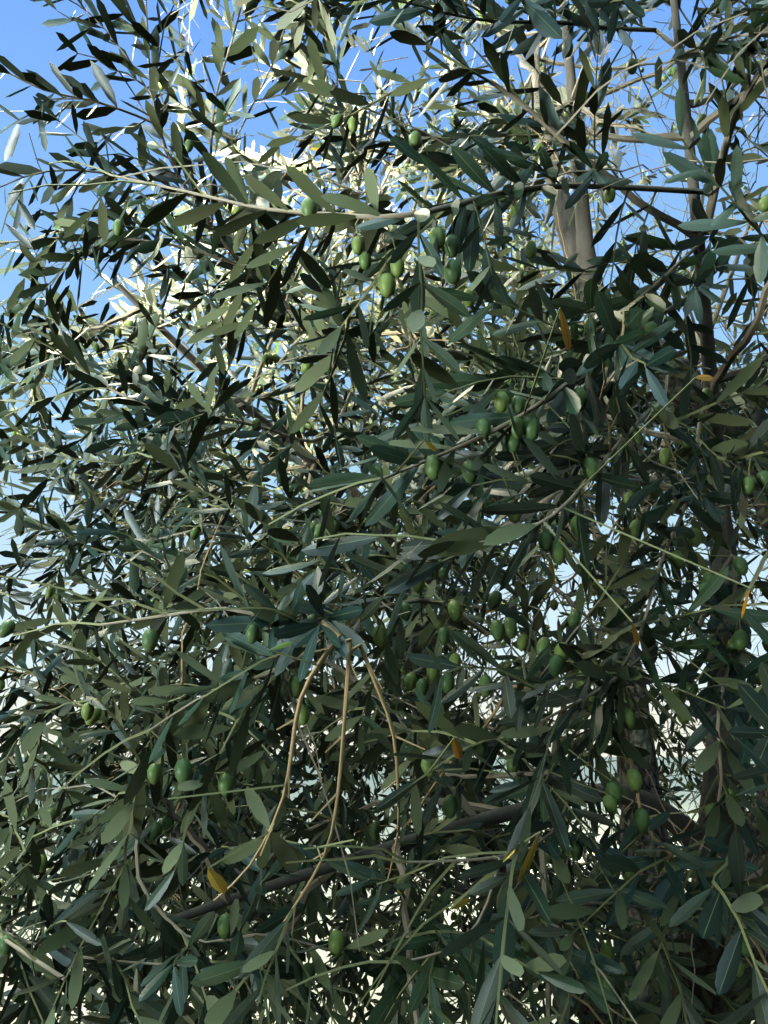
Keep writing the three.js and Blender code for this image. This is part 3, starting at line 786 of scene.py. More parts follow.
def nearestWood(point):               # the nearest place on any twig or limb, and the mass that owns it
    best = None
    for mass in masses:
        rows = np.array(mass["wood"])
        gaps = np.linalg.norm(rows[:, :3] - np.array(point), axis=1)
        if best is None or gaps.min() < best[0]:
            best = (gaps.min(), mass, Vector(rows[gaps.argmin(), :3]))
    return best


def growPhotoTwig(name, pixels, depths, radii):
    path = photoPath(pixels, depths)
    gap, mass, joint = nearestWood(path[0])
    count = max(1, int(gap / photoShoots["lead"]))
    lead = (path[1] - path[0]).normalized() * gap * photoShoots["leadOut"]
    if gap > photoShoots["joined"]:
        path = [curveAt([joint, path[0] - lead, path[0]], k / count)[0] for k in range(count)] + path
    kind = "dead" if name.startswith("dead") else "old"
    addTube(path, radii, 6, kind)
    addWood(mass, path)
    tint = chance.integers(*tintPlaces["dark"])
    leaf = largeLeaves.get(name, 1)
    far = lengthsAlong(path)
    place = far[-1] * photoShoots["first"]
    while place < far[-1]:
        here = placeOn(path, np.interp(place, far, np.linspace(0, 1, len(far))))
        length = chance.uniform(*photoShoots["length"])
        turn = chance.random() * 2 * math.pi
        end = sideAim(here, turn, chance.uniform(*photoShoots["angle"]), length)
        if kind == "dead":            # short bare spurs
            spur = [here[0]] + [here[0].lerp(end, part) for part in photoShoots["spur"]]
            addTube(spur, photoShoots["spurRadii"], 3, kind)
        else:
            end.z -= photoShoots["droop"] * length
            growFree(mass, here[0], end, tint, leaf)
        place += chance.uniform(*photoShoots["apart"])
    if kind != "dead":
        leafOut(mass, path, tint, leaf, first=far[-1] * photoShoots["leafyFrom"])
        end = path[-1] + (path[-1] - path[-3]).normalized() * photoShoots["end"]
        growFree(mass, path[-1], end, tint, leaf)
    for across, down in photoOlives.get(name, ()):
        hangSeenOlive(path, across, down)


def growFree(mass, point, end, tint, leaf):    # a leafy shoot on a twig of the photo
    if isTooNear(end):
        return
    curve = bowedCurve(point, end, habits["hanging"], photoShoots["bow"])
    path = pathOf(curve, photoShoots["joints"], finer["kink"])
    addTube(path, photoShoots["radii"], 3, "green")
    addWood(mass, path)
    leafOut(mass, path, tint, leaf)


def hangSeenOlive(path, across, down):         # an olive at a pixel, on a stalk from the nearest wood
    px, py, depth = seenAt(np.array([tuple(point) for point in path]))
    nearest = np.hypot(px - across, py - down).argmin()
    top = placeSeen(across, down, depth[nearest])
    top.z += fruit["length"] / 2
    isNear = (path[nearest] - top).length < fruit["longestStalk"]
    joint = path[nearest] if isNear else nearestWood(top)[2]
    out = (Vector((0, 0, -1)) + (top - joint) * 4).normalized()
    addOlive(joint, top, out)


# The leaves that have turned yellow in the photo: the pixels of base and tip, and which of the turned
# tints. Each bends away from the camera, so it is made longer than it looks.
turned = {
    "depth": 0.67, "radii": (0.0012, 0.0009), "longer": 1.3, "roll": 0.4,
    "elsewhere": (0.003, 0.005, 0.016),       # out of view, the shares of the three tints, added up
    "leaves": [((695, 378), (727, 346), 1), ((560, 308), (588, 350), 1), ((424, 440), (443, 452), 0),
               ((152, 612), (176, 572), 2), ((270, 650), (294, 638), 2), ((632, 622), (653, 646), 1),
               ((454, 738), (484, 778), 1), ((540, 832), (532, 898), 0), ((450, 909), (482, 902), 0),
               ((354, 840), (371, 890), 0), ((208, 868), (221, 922), 0), ((322, 860), (347, 882), 2),
               ((503, 862), (516, 846), 0), ((750, 588), (755, 620), 1), ((168, 799), (184, 790), 1)],
}


def growTurned(base, tip, kind):
    foot, end = placeSeen(*base, turned["depth"]), placeSeen(*tip, turned["depth"])
    _, mass, joint = nearestWood(foot)
    addTube([joint, joint.lerp(foot, 0.5), foot], turned["radii"], 3, "green")
    scale = turned["longer"] * (end - foot).length / leaves["length"][1]
    along = np.array((end - foot).normalized())
    across = unit(np.cross(np.array(reference), along))
    forward = viewAxes()[2]
    turn = math.atan2(np.cross(along, across) @ forward, across @ forward)
    turn += turned["roll"] * (chance.random() - 0.5)
    grown["leaves"].append((mass, np.array(foot), along, turn, scale, tintPlaces["turned"] + kind))


for name, row in photoTwigs.items():
    growPhotoTwig(name, *row)
for row in turned["leaves"]:
    growTurned(*row)
print("photo's twigs:", len(photoTwigs), "with", len(grown["olives"]), "olives so far")
for mass in masses:
    fillMass(mass)
    growBare(mass)
print("grown:", *(f"{len(rows)} {kind}" for kind, rows in grown.items()))


# Meshes from arrays: vertices, and faces with three or four corners.
def meshFrom(name, vertices, faceSets, indexSets, materials):
    mesh = bpy.data.meshes.new(name)
    corners = np.concatenate([faces.ravel() for faces in faceSets])
    totals = np.concatenate([np.full(len(faces), faces.shape[1]) for faces in faceSets])
    mesh.vertices.add(len(vertices))
    mesh.vertices.foreach_set("co", vertices.astype(np.float32).ravel())
    mesh.loops.add(len(corners))
    mesh.loops.foreach_set("vertex_index", corners.astype(np.int32))
    mesh.polygons.add(len(totals))
    starts = np.concatenate(([0], np.cumsum(totals)[:-1]))
    mesh.polygons.foreach_set("loop_start", starts.astype(np.int32))
    mesh.polygons.foreach_set("material_index", np.concatenate(indexSets).astype(np.int32))
    for material in materials:
        mesh.materials.append(material)
    mesh.update(calc_edges=True)
    piece = bpy.data.objects.new(name, mesh)
    bpy.context.collection.objects.link(piece)
    return piece


def selectOnly(piece):
    bpy.ops.object.select_all(action="DESELECT")
    piece.select_set(True)
    bpy.context.view_layer.objects.active = piece


smoothing = {"leaves": 35, "twigs": 60, "limbs": 60, "bark": 70, "olives": 80}        # degrees


def finishPiece(piece, nodes, angle):
    selectOnly(piece)
    bpy.ops.object.shade_smooth_by_angle(angle=math.radians(angle))
    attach(piece, "root")
    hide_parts(*nodes)
    triangles = sum(len(face.vertices) - 2 for face in piece.data.polygons)
    print("piece", piece.name, "with", triangles, "triangles")


def sweepTubes(tubes):                # tubes with equal counts of corners and sides, as arrays
    points = np.array([[tuple(corner) for corner in path] for path, *_ in tubes])
    radii = np.array([row[1] for row in tubes])
    count, length, _ = points.shape
    sides = tubes[0][2]
    along = unit(np.gradient(points, axis=1))
    start = np.eye(3)[np.abs(along[:, 0]).argmin(axis=1)]
    circles = np.zeros((count, length, sides, 3))
    angles = 2 * math.pi * np.arange(sides) / sides
    across = start
    for ring in range(length):
        across = unit(across - (across * along[:, ring]).sum(1, keepdims=True) * along[:, ring])
        other = np.cross(along[:, ring], across)
        spoke = (np.cos(angles)[None, :, None] * across[:, None]
                 + np.sin(angles)[None, :, None] * other[:, None])
        circles[:, ring] = points[:, ring, None] + radii[:, ring, None, None] * spoke
    here = np.arange(sides)
    there = (here + 1) % sides
    band = np.stack((here, there, there + sides, here + sides), axis=1)
    bands = (band[None] + sides * np.arange(length - 1)[:, None, None]).reshape(-1, 4)
    firsts = (np.arange(count) * length * sides)[:, None, None]
    caps = np.array([[0, k + 1, k] for k in range(1, sides - 1)])
    ends = np.array([[0, k, k + 1] for k in range(1, sides - 1)]) + (length - 1) * sides
    quads = (bands[None] + firsts).reshape(-1, 4)
    triangles = (np.concatenate((caps, ends))[None] + firsts).reshape(-1, 3)
    return circles.reshape(-1, 3), quads, triangles


def plainMaterial(name, colour, roughness, **more):
    material = bpy.data.materials.new(name)
    material.use_nodes = True
    shader = material.node_tree.nodes["Principled BSDF"]
    shader.inputs["Base Color"].default_value = (*colour, 1)
    shader.inputs["Roughness"].default_value = roughness
    for label, value in more.items():
        shader.inputs[label.replace("_", " ")].default_value = value
    return material


def linear(red, green, blue):         # a colour given as 0 to 255 on a screen
    return tuple((value / 255 / 12.92) if value < 10 else ((value / 255 + 0.055) / 1.055) ** 2.4
                 for value in (red, green, blue))


# The sunlit tints are lighter leaves with painted sunlight in them, on both sides; the top and under tints
# are the leaves' own colours.
leafTints = {
    "top": [(46, 70, 50), (38, 60, 44), (58, 82, 48), (32, 50, 36), (56, 82, 60), (42, 70, 60)],
    "sunlitPaleTop": [(100, 118, 88), (90, 112, 92), (112, 124, 92)],
    "under": [(104, 112, 72), (90, 100, 62), (122, 128, 88)],
    "sunlitPaleUnder": [(164, 164, 132), (178, 174, 140), (150, 154, 128)],
    "turned": [(232, 192, 62), (230, 160, 46), (128, 152, 62)],
    "sunlitSilvery": [(198, 198, 164), (180, 182, 148)],
}
leafGloss = {
    "top": {"roughness": 0.45, "Specular_IOR_Level": 0.7, "Coat_Weight": 0.25, "Coat_Roughness": 0.42},
    "under": {"roughness": 0.7, "Sheen_Weight": 0.2},
}
leafMaterials = []
for kind, colours in leafTints.items():
    gloss = leafGloss["under" if kind in ("under", "sunlitPaleUnder") else "top"]
    for n, colour in enumerate(colours):
        leafMaterials.append(plainMaterial(f"leaf_{kind}_{n}", linear(*colour), **gloss))
midribTint = (112, 126, 92)
leafMaterials.append(plainMaterial("leaf_midrib", linear(*midribTint), roughness=0.5))
twigTints = {                         # and their roughness
    "old": ((182, 168, 142), 0.8), "green": ((152, 152, 104), 0.65), "dead": ((214, 182, 134), 0.85),
}
twigKinds = list(twigTints)
twigMaterials = [plainMaterial("twig" + kind.capitalize(), linear(*colour), roughness)
                 for kind, (colour, roughness) in twigTints.items()]
oliveTints = [(118, 144, 84), (142, 162, 88), (102, 130, 80)]
oliveGloss = {"roughness": 0.42, "Subsurface_Weight": 0.08}
oliveMaterials = [plainMaterial(f"olive{n}", linear(*colour), **oliveGloss)
                  for n, colour in enumerate(oliveTints)]


underFold = 0.35                      # how much of the leaf's fold its underside follows


# Leaf outlines as rows along the blade: share of the length and share of the width.
def leafForm(rows, fold, thick, midrib):
    points = [(0, 0, 0)]
    for at, wide in rows:
        points += [(wide / 2, at, -fold * wide), (-wide / 2, at, -fold * wide)]
        points += [(midrib, at, 0), (-midrib, at, 0)] if midrib else [(0, at, 0)]
        points.append((0, at, -thick - fold * wide * underFold))
    points.append((0, 1, 0))
    return points


def leafFaces(rows, midrib):          # triangles, each with 0 for the top, 1 for under, 2 for the midrib
    step = 5 if midrib else 4
    tip = 1 + step * len(rows)
    faces = []
    for row in range(len(rows) + 1):
        before = 1 + step * (row - 1)
        after = 1 + step * row
        right, left, ribRight, ribLeft, under = (0, 1, 2, 3, 4) if midrib else (0, 1, 2, 2, 3)
        lanes = [(right, ribRight, 0), (ribRight, ribLeft, 2), (ribLeft, left, 0), (left, under, 1),
                 (under, right, 1)]
        for here, there, kind in lanes:
            if here == there:
                continue
            if row == 0:
                faces.append((0, after + here, after + there, kind))
            elif row == len(rows):
                faces.append((before + here, tip, before + there, kind))
            else:
                faces.append((before + here, after + here, after + there, kind))
                faces.append((before + here, after + there, before + there, kind))
    return faces


def farLeafForm(rows):                # six corners, for the leaves that are far off
    (low, lowWide), (high, highWide) = rows
    return [(0, 0, 0), (lowWide / 2, low, 0), (-lowWide / 2, low, 0),
            (highWide / 2, high, 0), (-highWide / 2, high, 0), (0, 1, 0)]


farLeafFaces = [(0, 1, 2, 0), (1, 3, 2, 0), (3, 4, 2, 0), (3, 5, 4, 0),
                (0, 3, 1, 1), (0, 5, 3, 1), (0, 4, 5, 1), (0, 2, 4, 1)]
leafForms = {
    "near": {"rows": [(0.1, 0.32), (0.36, 0.84), (0.66, 1), (0.89, 0.66)], "fold": 0.1, "thickness": 0.02,
             "midrib": 0.022},
    "middle": {"rows": [(0.28, 0.76), (0.78, 0.9)], "fold": 0.1, "thickness": 0.025, "midrib": 0},
    "far": {"rows": [(0.28, 0.8), (0.78, 0.88)], "leastBend": 0.04},
}
leafRanges = {"near": 1.05, "middle": 1.9}            # metres from the camera


def leafFrames(rows):                 # bases, directions and sizes of all leaves of a group
    points = np.array([tuple(row[1]) for row in rows])
    stem = np.array([tuple(row[2]) for row in rows])
    turns = np.array([row[3] for row in rows])
    scale = np.array([row[4] for row in rows])
    count = len(rows)
    across = unit(np.cross(np.array(reference), stem))
    other = np.cross(stem, across)
    side = np.cos(turns)[:, None] * across + np.sin(turns)[:, None] * other
    opening = chance.uniform(*leaves["opening"], count)[:, None]
    along = stem * np.cos(opening) + side * np.sin(opening)
    along += chance.normal(0, leaves["stray"], (count, 3))
    along[:, 2] -= leaves["weight"]
    along = unit(along)
    top = stem * np.sin(opening) - side * np.cos(opening)
    top[:, 2] += leaves["lift"]
    top += chance.normal(0, leaves["twist"], (count, 3))
    top = unit(top - (top * along).sum(1, keepdims=True) * along)
    length = chance.uniform(*leaves["length"], count) * scale
    width = length * leaves["width"] * chance.uniform(*leaves["widths"], count)
    bend = chance.normal(*leaves["bend"], count)
    return points, along, top, length, width, bend


def leafMesh(name, rows, nodes):
    points, along, top, length, width, bend = leafFrames(rows)
    across = np.cross(along, top)
    ends = points + along * length[:, None]
    keep = np.ones(len(rows), bool)
    margin, further = leaves["ends"]
    for mass in masses:
        own = np.array([row[0] is mass for row in rows])
        if own.any():
            keep[own] = isFree(ends[own], mass, margin, finer["slack"] * further, finer["past"] * further)
    px, py, depth = seenAt(points)
    inView = inFrame(px, py, framePast["leaves"]) & (depth > 0)
    kind = np.where(inView & (depth < leafRanges["middle"]), 1, 2)
    kind[inView & (depth < leafRanges["near"])] = 0
    tints = np.array([row[5] for row in rows])
    odd = chance.random(len(rows))
    odd[kind < 2] = 1                 # in view only those of the photo have turned
    under = np.where(tints < tintPlaces["dark"][1], tintPlaces["under"], tintPlaces["sunlitPaleUnder"])
    under += chance.integers(len(leafTints["under"]), size=len(rows))
    yellow = np.searchsorted(turned["elsewhere"], odd, side="right")
    tops = np.where(yellow < len(turned["elsewhere"]), tintPlaces["turned"] + yellow, tints)
    under = np.where(tops >= tintPlaces["turned"], tops, under)
    vertexSets, faceSets, indexSets, total = [], [], [], 0
    for number, (label, form) in enumerate(leafForms.items()):
        chosen = np.nonzero(keep & (kind == number))[0]
        if not len(chosen):
            continue
        if label == "far":
            shape, faces = np.array(farLeafForm(form["rows"])), np.array(farLeafFaces)
            bend[chosen] = np.maximum(bend[chosen], form["leastBend"])
        else:
            shape = np.array(leafForm(form["rows"], form["fold"], form["thickness"], form["midrib"]))
            faces = np.array(leafFaces(form["rows"], form["midrib"]))
        at = shape[:, 1]
        sag = (bend[chosen] * length[chosen])[:, None] * (at ** 2)[None]
        lift = shape[None, :, 2] * width[chosen, None] - sag
        outwards = length[chosen, None] * at[None]
        sideways = width[chosen, None] * shape[None, :, 0]
        vertices = (points[chosen, None] + along[chosen, None] * outwards[..., None]
                    + across[chosen, None] * sideways[..., None] + top[chosen, None] * lift[..., None])
        vertexSets.append(vertices.reshape(-1, 3))
        firsts = (np.arange(len(chosen)) * len(shape))[:, None, None] + total
        faceSets.append((faces[None, :, :3] + firsts).reshape(-1, 3))
        midribs = np.full(len(chosen), len(leafMaterials) - 1)
        byKind = np.stack((tops[chosen], under[chosen], midribs), axis=1)
        indexSets.append(byKind[:, faces[:, 3]].ravel())
        total += len(chosen) * len(shape)
        print("  ", name, label, len(chosen), "leaves")
    piece = meshFrom(name, np.concatenate(vertexSets), faceSets, indexSets, leafMaterials)
    finishPiece(piece, nodes, smoothing["leaves"])


leafGroups = {
    "leaves_skirt_front": ["skirt_front_left", "skirt_front_right"],
    "leaves_skirt_back": ["skirt_right", "skirt_back", "skirt_left"],
    "leaves_middle_front": ["middle_front", "inner"],
    "leaves_middle_left": ["middle_left_front"],
    "leaves_middle_right": ["middle_right_front", "middle_right_back"],
    "leaves_middle_back": ["middle_back", "middle_left_back"],
    "leaves_upper_front": ["upper_front", "upper_left", "upper_right"],
    "leaves_upper_back": ["upper_back_right", "upper_back_left", "top"],
}
for name, members in leafGroups.items():
    rows = [row for row in grown["leaves"] if row[0]["name"] in members]
    leafMesh(name, rows, [f"foliage_{member}" for member in members])
foliageNodes = [f"foliage_{mass['name']}" for mass in masses]


def makeTwigs(name, tubes, nodes):    # tubes alike in corners and sides are made together
    groups = {}
    for tube in tubes:
        groups.setdefault((len(tube[0]), tube[2]), []).append(tube)
    vertexSets, faceSets, indexSets, total = [], [], [], 0
    for alike in groups.values():
        vertices, *faceKinds = sweepTubes(alike)
        kinds = np.array([twigKinds.index(tube[3]) for tube in alike])
        vertexSets.append(vertices)
        for faces in faceKinds:
            faceSets.append(faces + total)
            indexSets.append(np.repeat(kinds, len(faces) // len(alike)))
        total += len(vertices)
    piece = meshFrom(name, np.concatenate(vertexSets), faceSets, indexSets, twigMaterials)
    finishPiece(piece, nodes, smoothing["twigs"])


oliveForms = {"near": (5, 8), "far": (4, 6)}          # levels and sides


def oliveShape(levels, sides):        # the points and faces of one olive that hangs from its top
    points = [(0, 0, 0)]
    for level in range(1, levels):
        turn = math.pi * level / levels
        out = math.sin(turn) * (1 if level <= levels / 2 else fruit["below"][0]) / 2
        for side in range(sides):
            angle = 2 * math.pi * side / sides
            points.append((out * math.cos(angle), out * math.sin(angle), -(1 - math.cos(turn)) / 2))
    points.append((0, 0, -fruit["below"][1]))
    last = len(points) - 1
    quads = []
    for level in range(levels - 2):
        for side in range(sides):
            here, there = 1 + level * sides + side, 1 + level * sides + (side + 1) % sides
            quads.append((here, here + sides, there + sides, there))
    caps = [(0, 1 + side, 1 + (side + 1) % sides) for side in range(sides)]
    caps += [(last, last - sides + (side + 1) % sides, last - sides + side) for side in range(sides)]
    return np.array(points), [np.array(quads), np.array(caps)]


def makeOlives():
    ends = np.array([tuple(row[0]) for row in grown["olives"]])
    down = -np.array([tuple(row[1]) for row in grown["olives"]])
    across = unit(np.cross(down, np.array(fruit["aside"])))
    other = np.cross(down, across)
    scale = np.array([row[2] for row in grown["olives"]])[:, None, None]
    tints = np.array([row[3] for row in grown["olives"]])
    px, py, depth = seenAt(ends)
    near = inFrame(px, py, framePast["olives"]) & (depth > 0) & (depth < fruit["inView"])
    vertexSets, faceSets, indexSets, total = [], [], [], 0
    for chosen, (levels, sides) in zip((np.nonzero(near)[0], np.nonzero(~near)[0]), oliveForms.values()):
        shape, faceKinds = oliveShape(levels, sides)
        local = shape * np.array((fruit["width"], fruit["width"], fruit["length"]))
        placed = (local[None, :, :1] * across[chosen, None] + local[None, :, 1:2] * other[chosen, None]
                  + local[None, :, 2:] * down[chosen, None])
        vertexSets.append((ends[chosen, None] + scale[chosen] * placed).reshape(-1, 3))
        firsts = (np.arange(len(chosen)) * len(shape))[:, None, None] + total
        for faces in faceKinds:
            faceSets.append((faces[None] + firsts).reshape(-1, faces.shape[1]))
            indexSets.append(np.repeat(tints[chosen], len(faces)))
        total += len(chosen) * len(shape)
    piece = meshFrom("olives", np.concatenate(vertexSets), faceSets, indexSets, oliveMaterials)
    finishPiece(piece, foliageNodes, smoothing["olives"])


splitAt = -0.35                       # the twigs that start in front of it and behind it are two pieces
frontTubes = [tube for tube in grown["tubes"] if tube[0][0].y < splitAt]
backTubes = [tube for tube in grown["tubes"] if tube[0][0].y >= splitAt]
makeTwigs("twigs_front", frontTubes, foliageNodes)
makeTwigs("twigs_back", backTubes, foliageNodes)
makeOlives()


# The trunk and the boughs become one mesh with the relief of the bark.
bark = {
    "voxel": 0.0078,                  # metres between its vertices
    "levels": 52,                     # of the trunk before it is fused
    "around": 96,                     # its corners at each level
    "rounding": 6,                    # of the boughs before they are fused
    "endJoints": 24,                  # of the stem that a bough's end is fitted to
    "endThin": 0.9,                   # how thick that end stays, as a share of the stem
    "uneven": (0.03, 23),             # how much a bough's thickness varies, and how fast
    "below": 0.02,                    # how far it starts under the ground before it is cut flat
    "collar": (0.16, 0.11),           # how much wider a bough starts, as a share, and how far that lasts
    "tapers": 0.26,                   # how long a bough's end takes to thin down to what it carries
    "soften": 5,                      # rounds of smoothing at the joints
    "young": (0.036, 0.075),          # radii between which smooth bark turns to fissured bark
    "cells": (44, 44, 8),             # plates of bark to a metre, around and along
    "deep": 0.0062,                   # depth of the fissures
    "lumps": 0.0035,                  # height of the broad swellings
    "seam": (0.03, 0.25),             # how near a joint the fissures fade, and how much of them is left
    "offset": 3,                      # metres that set the bark's pattern on one bough off from the next
    "batch": 4000,                    # vertices measured at a time
    "bump": (0.6, 0.003),             # strength and height of the fine grain
    "roughness": 0.9,
}
barkTints = {
    "fissure": (52, 44, 37), "plate": (122, 112, 99), "worn": (158, 149, 136), "smooth": (138, 133, 120),
    "lichen": (166, 170, 146),
}
barkPatterns = {                      # by scale and detail, and how they are mixed
    "wander": (9.0, 3.0), "push": (3.2, 3.2, 1.5), "edge": 0.2,       # how the plates' edges wander
    "lumps": (6.5, 2.0), "patches": (11.0, 4.0), "grain": (150.0, 5.0), "youngGrain": (70.0, 5.0),
    "stretch": (1, 1, 0.3),           # the grain runs along the bough
    "youngRelief": 0.12, "plateHeight": 0.8, "oldFrom": 0.4, "lichen": (0.56, 0.66, 0.5),
}


def makeTrunk():
    step = (trunk["height"] + bark["below"]) / bark["levels"]
    bpy.ops.mesh.primitive_circle_add(vertices=bark["around"], radius=1, fill_type="NGON",
                                      location=(0, 0, -bark["below"]))
    bpy.ops.object.transform_apply()
    piece = bpy.context.active_object
    bpy.ops.object.mode_set(mode="EDIT")
    bpy.ops.mesh.select_all(action="SELECT")
    for _ in range(bark["levels"]):
        bpy.ops.mesh.extrude_region_move(TRANSFORM_OT_translate={"value": (0, 0, step)})
    bpy.ops.object.mode_set(mode="OBJECT")
    for vertex in piece.data.vertices:        # the circle at each level takes the trunk's own outline
        height = vertex.co.z
        angle = math.atan2(vertex.co.y, vertex.co.x)
        out = Vector((math.cos(angle), math.sin(angle), 0))
        vertex.co = trunkMiddle(height) + out * trunkRadius(height, angle)
    return piece


def makeTube(name, rows):             # a round limb along points with their own radii
    curve = bpy.data.curves.new(name, "CURVE")
    curve.dimensions = "3D"
    curve.bevel_depth = 1
    curve.bevel_resolution = bark["rounding"]
    curve.use_fill_caps = True
    spline = curve.splines.new("POLY")
    spline.points.add(len(rows) - 1)
    for point, (place, radius) in zip(spline.points, rows):
        point.co = (*place, 1)
        point.radius = radius
    tube = bpy.data.objects.new(name, curve)
    bpy.context.collection.objects.link(tube)
    selectOnly(tube)
    bpy.ops.object.convert(target="MESH")
    return bpy.context.active_object


def limbRows(name, steps=48):         # points, radii and lengths along a bough or a limb
    limb = limbs[name]
    shares = np.linspace(0, 1, steps + 1)
    points = [curveAt(limb["handles"], share)[0] for share in shares]
    radii = limb["radii"][0] + (limb["radii"][1] - limb["radii"][0]) * shares
    return points, radii, lengthsAlong(points)


def endRows(name):                    # from a bough's tip on into the stem that it carries
    mass = next(mass for mass in masses if mass["limb"] == name)
    points = [curveAt(mass["stem"], share)[0] for share in np.linspace(0, 1, bark["endJoints"] + 1)]
    tip = limbs[name]["radii"][1]
    thin = stemRule["radii"][0] * bark["endThin"]
    return [(point, thin + (tip - thin) * (1 - reached / bark["tapers"]) ** 2)
            for point, reached in zip(points, lengthsAlong(points)) if reached < bark["tapers"]]


def boughRows(name):                  # a bough with its collar, its uneven girth and its end
    points, radii, far = limbRows(name)
    wider, fade = bark["collar"]
    start = 1 if "from" in boughs[name] else 1 + wider
    uneven, pace = bark["uneven"]
    swell = 1 + uneven * np.sin(far * pace + len(name))
    radii = radii * swell * (1 + (start - 1) * np.exp(-np.maximum(far - trunk["waist"], 0) / fade))
    rows = list(zip(points, radii))
    if not any(bough.get("from") == name for bough in boughs.values()):
        rows += endRows(name)[1:]
    return rows


def barkFrame():                      # middle, radius, direction and length along, of all in the bark
    rows = []
    for height in np.arange(0, trunk["height"], limbStep):
        rows.append((*trunkMiddle(height), trunk["waist"], 0, 0, 1, height))
    for number, name in enumerate(boughs):
        tube = boughRows(name)
        far = lengthsAlong([point for point, _ in tube])
        for n in range(len(tube) - 1):
            here, there = tube[n][0], tube[n + 1][0]
            along = far[n] + bark["offset"] * (number + 1)
            rows.append((*here, tube[n][1], *(there - here).normalized(), along))
    return np.array(rows)


def writeAttribute(mesh, name, kind, values):
    layer = mesh.attributes.new(name, kind, "POINT")
    label = "vector" if kind == "FLOAT_VECTOR" else "value"
    layer.data.foreach_set(label, np.asarray(values, np.float32).ravel())


def readBarkSpace(piece):             # where each vertex is, across and along its own limb
    mesh = piece.data
    points = np.zeros(len(mesh.vertices) * 3)
    mesh.vertices.foreach_get("co", points)
    points = points.reshape(-1, 3)
    axis = barkFrame()
    across = unit(np.cross(np.array(reference), axis[:, 4:7]))
    other = np.cross(axis[:, 4:7], across)
    owner = np.floor(axis[:, 7] / bark["offset"])
    space, age = np.zeros((len(points), 3)), np.zeros(len(points))
    youngest, oldest = bark["young"]
    seam, left = bark["seam"]
    for first in range(0, len(points), bark["batch"]):
        batch = slice(first, first + bark["batch"])
        part = points[batch]
        gaps = np.linalg.norm(part[:, None] - axis[None, :, :3], axis=2) - axis[None, :, 3]
        best = gaps.argmin(axis=1)
        own = gaps.min(axis=1)
        others = np.where(owner[None] == owner[best][:, None], np.inf, gaps).min(axis=1)
        away = part - axis[best, :3]
        along = (away * axis[best, 4:7]).sum(1) + axis[best, 7]
        aside = (away * across[best]).sum(1), (away * other[best]).sum(1)
        space[batch] = np.stack((*aside, along), axis=1)
        thick = np.clip((axis[best, 3] - youngest) / (oldest - youngest), 0, 1)
        age[batch] = thick * np.clip((others - own) / seam, left, 1)
    writeAttribute(mesh, "barkSpace", "FLOAT_VECTOR", space)
    writeAttribute(mesh, "barkAge", "FLOAT", age)


def nodeIn(tree, kind, links=(), **values):       # a node with its settings and what feeds it
    node = tree.nodes.new(kind)
    for label, value in values.items():
        setattr(node, label, value)
    for label, source in links:
        if hasattr(source, "is_output"):
            tree.links.new(source, node.inputs[label])
        else:
            node.inputs[label].default_value = source
    return node


def mathIn(tree, operation, first, second=0.0):
    return nodeIn(tree, "ShaderNodeMath", [(0, first), (1, second)], operation=operation).outputs[0]


def vectorIn(tree, operation, first, second):
    links = [(0, first), ("Scale" if operation == "SCALE" else 1, second)]
    return nodeIn(tree, "ShaderNodeVectorMath", links, operation=operation).outputs[0]


def noiseIn(tree, place, name, output=0):     # one of the bark's patterns, by its scale and detail
    scale, detail = barkPatterns[name]
    links = [("Vector", place), ("Scale", scale), ("Detail", detail)]
    return nodeIn(tree, "ShaderNodeTexNoise", links).outputs[output]


def mixIn(tree, share, first, second):
    links = [("Fac", share), ("Color1", first), ("Color2", second)]
    return nodeIn(tree, "ShaderNodeMixRGB", links).outputs[0]


def barkPattern(tree, place):         # the bark's plates, from 0 in a fissure to 1, and its broad lumps
    pushed = vectorIn(tree, "MULTIPLY", noiseIn(tree, place, "wander", "Color"), barkPatterns["push"])
    cellPlace = vectorIn(tree, "ADD", vectorIn(tree, "MULTIPLY", place, bark["cells"]), pushed)
    cells = nodeIn(tree, "ShaderNodeTexVoronoi", [("Vector", cellPlace), ("Scale", 1.0)],
                   feature="DISTANCE_TO_EDGE")
    edges = [("Value", cells.outputs["Distance"]), ("From Max", barkPatterns["edge"])]
    plates = nodeIn(tree, "ShaderNodeMapRange", edges, interpolation_type="SMOOTHSTEP").outputs[0]
    return plates, noiseIn(tree, place, "lumps")


def reliefGroup():
    group = bpy.data.node_groups.new("barkRelief", "GeometryNodeTree")
    group.interface.new_socket("Geometry", in_out="INPUT", socket_type="NodeSocketGeometry")
    group.interface.new_socket("Geometry", in_out="OUTPUT", socket_type="NodeSocketGeometry")
    source = group.nodes.new("NodeGroupInput")
    result = group.nodes.new("NodeGroupOutput")
    place, age = (nodeIn(group, "GeometryNodeInputNamedAttribute", [("Name", name)],
                         data_type=kind).outputs[0]
                  for name, kind in (("barkSpace", "FLOAT_VECTOR"), ("barkAge", "FLOAT")))
    plates, lumps = barkPattern(group, place)
    sunk = mathIn(group, "MULTIPLY", mathIn(group, "SUBTRACT", plates, 1.0), bark["deep"])
    raised = mathIn(group, "MULTIPLY", mathIn(group, "SUBTRACT", lumps, 0.5), bark["lumps"] * 2)
    share = mathIn(group, "ADD", age, barkPatterns["youngRelief"])
    height = mathIn(group, "MULTIPLY", mathIn(group, "ADD", sunk, raised), share)
    normal = group.nodes.new("GeometryNodeInputNormal").outputs[0]
    offset = vectorIn(group, "SCALE", normal, height)
    placed = [("Geometry", source.outputs[0]), ("Offset", offset)]
    moved = nodeIn(group, "GeometryNodeSetPosition", placed)
    stored = [("Geometry", moved.outputs[0]), ("Name", "plates"), ("Value", plates)]
    kept = nodeIn(group, "GeometryNodeStoreNamedAttribute", stored, data_type="FLOAT", domain="POINT")
    group.links.new(kept.outputs[0], result.inputs[0])
    return group


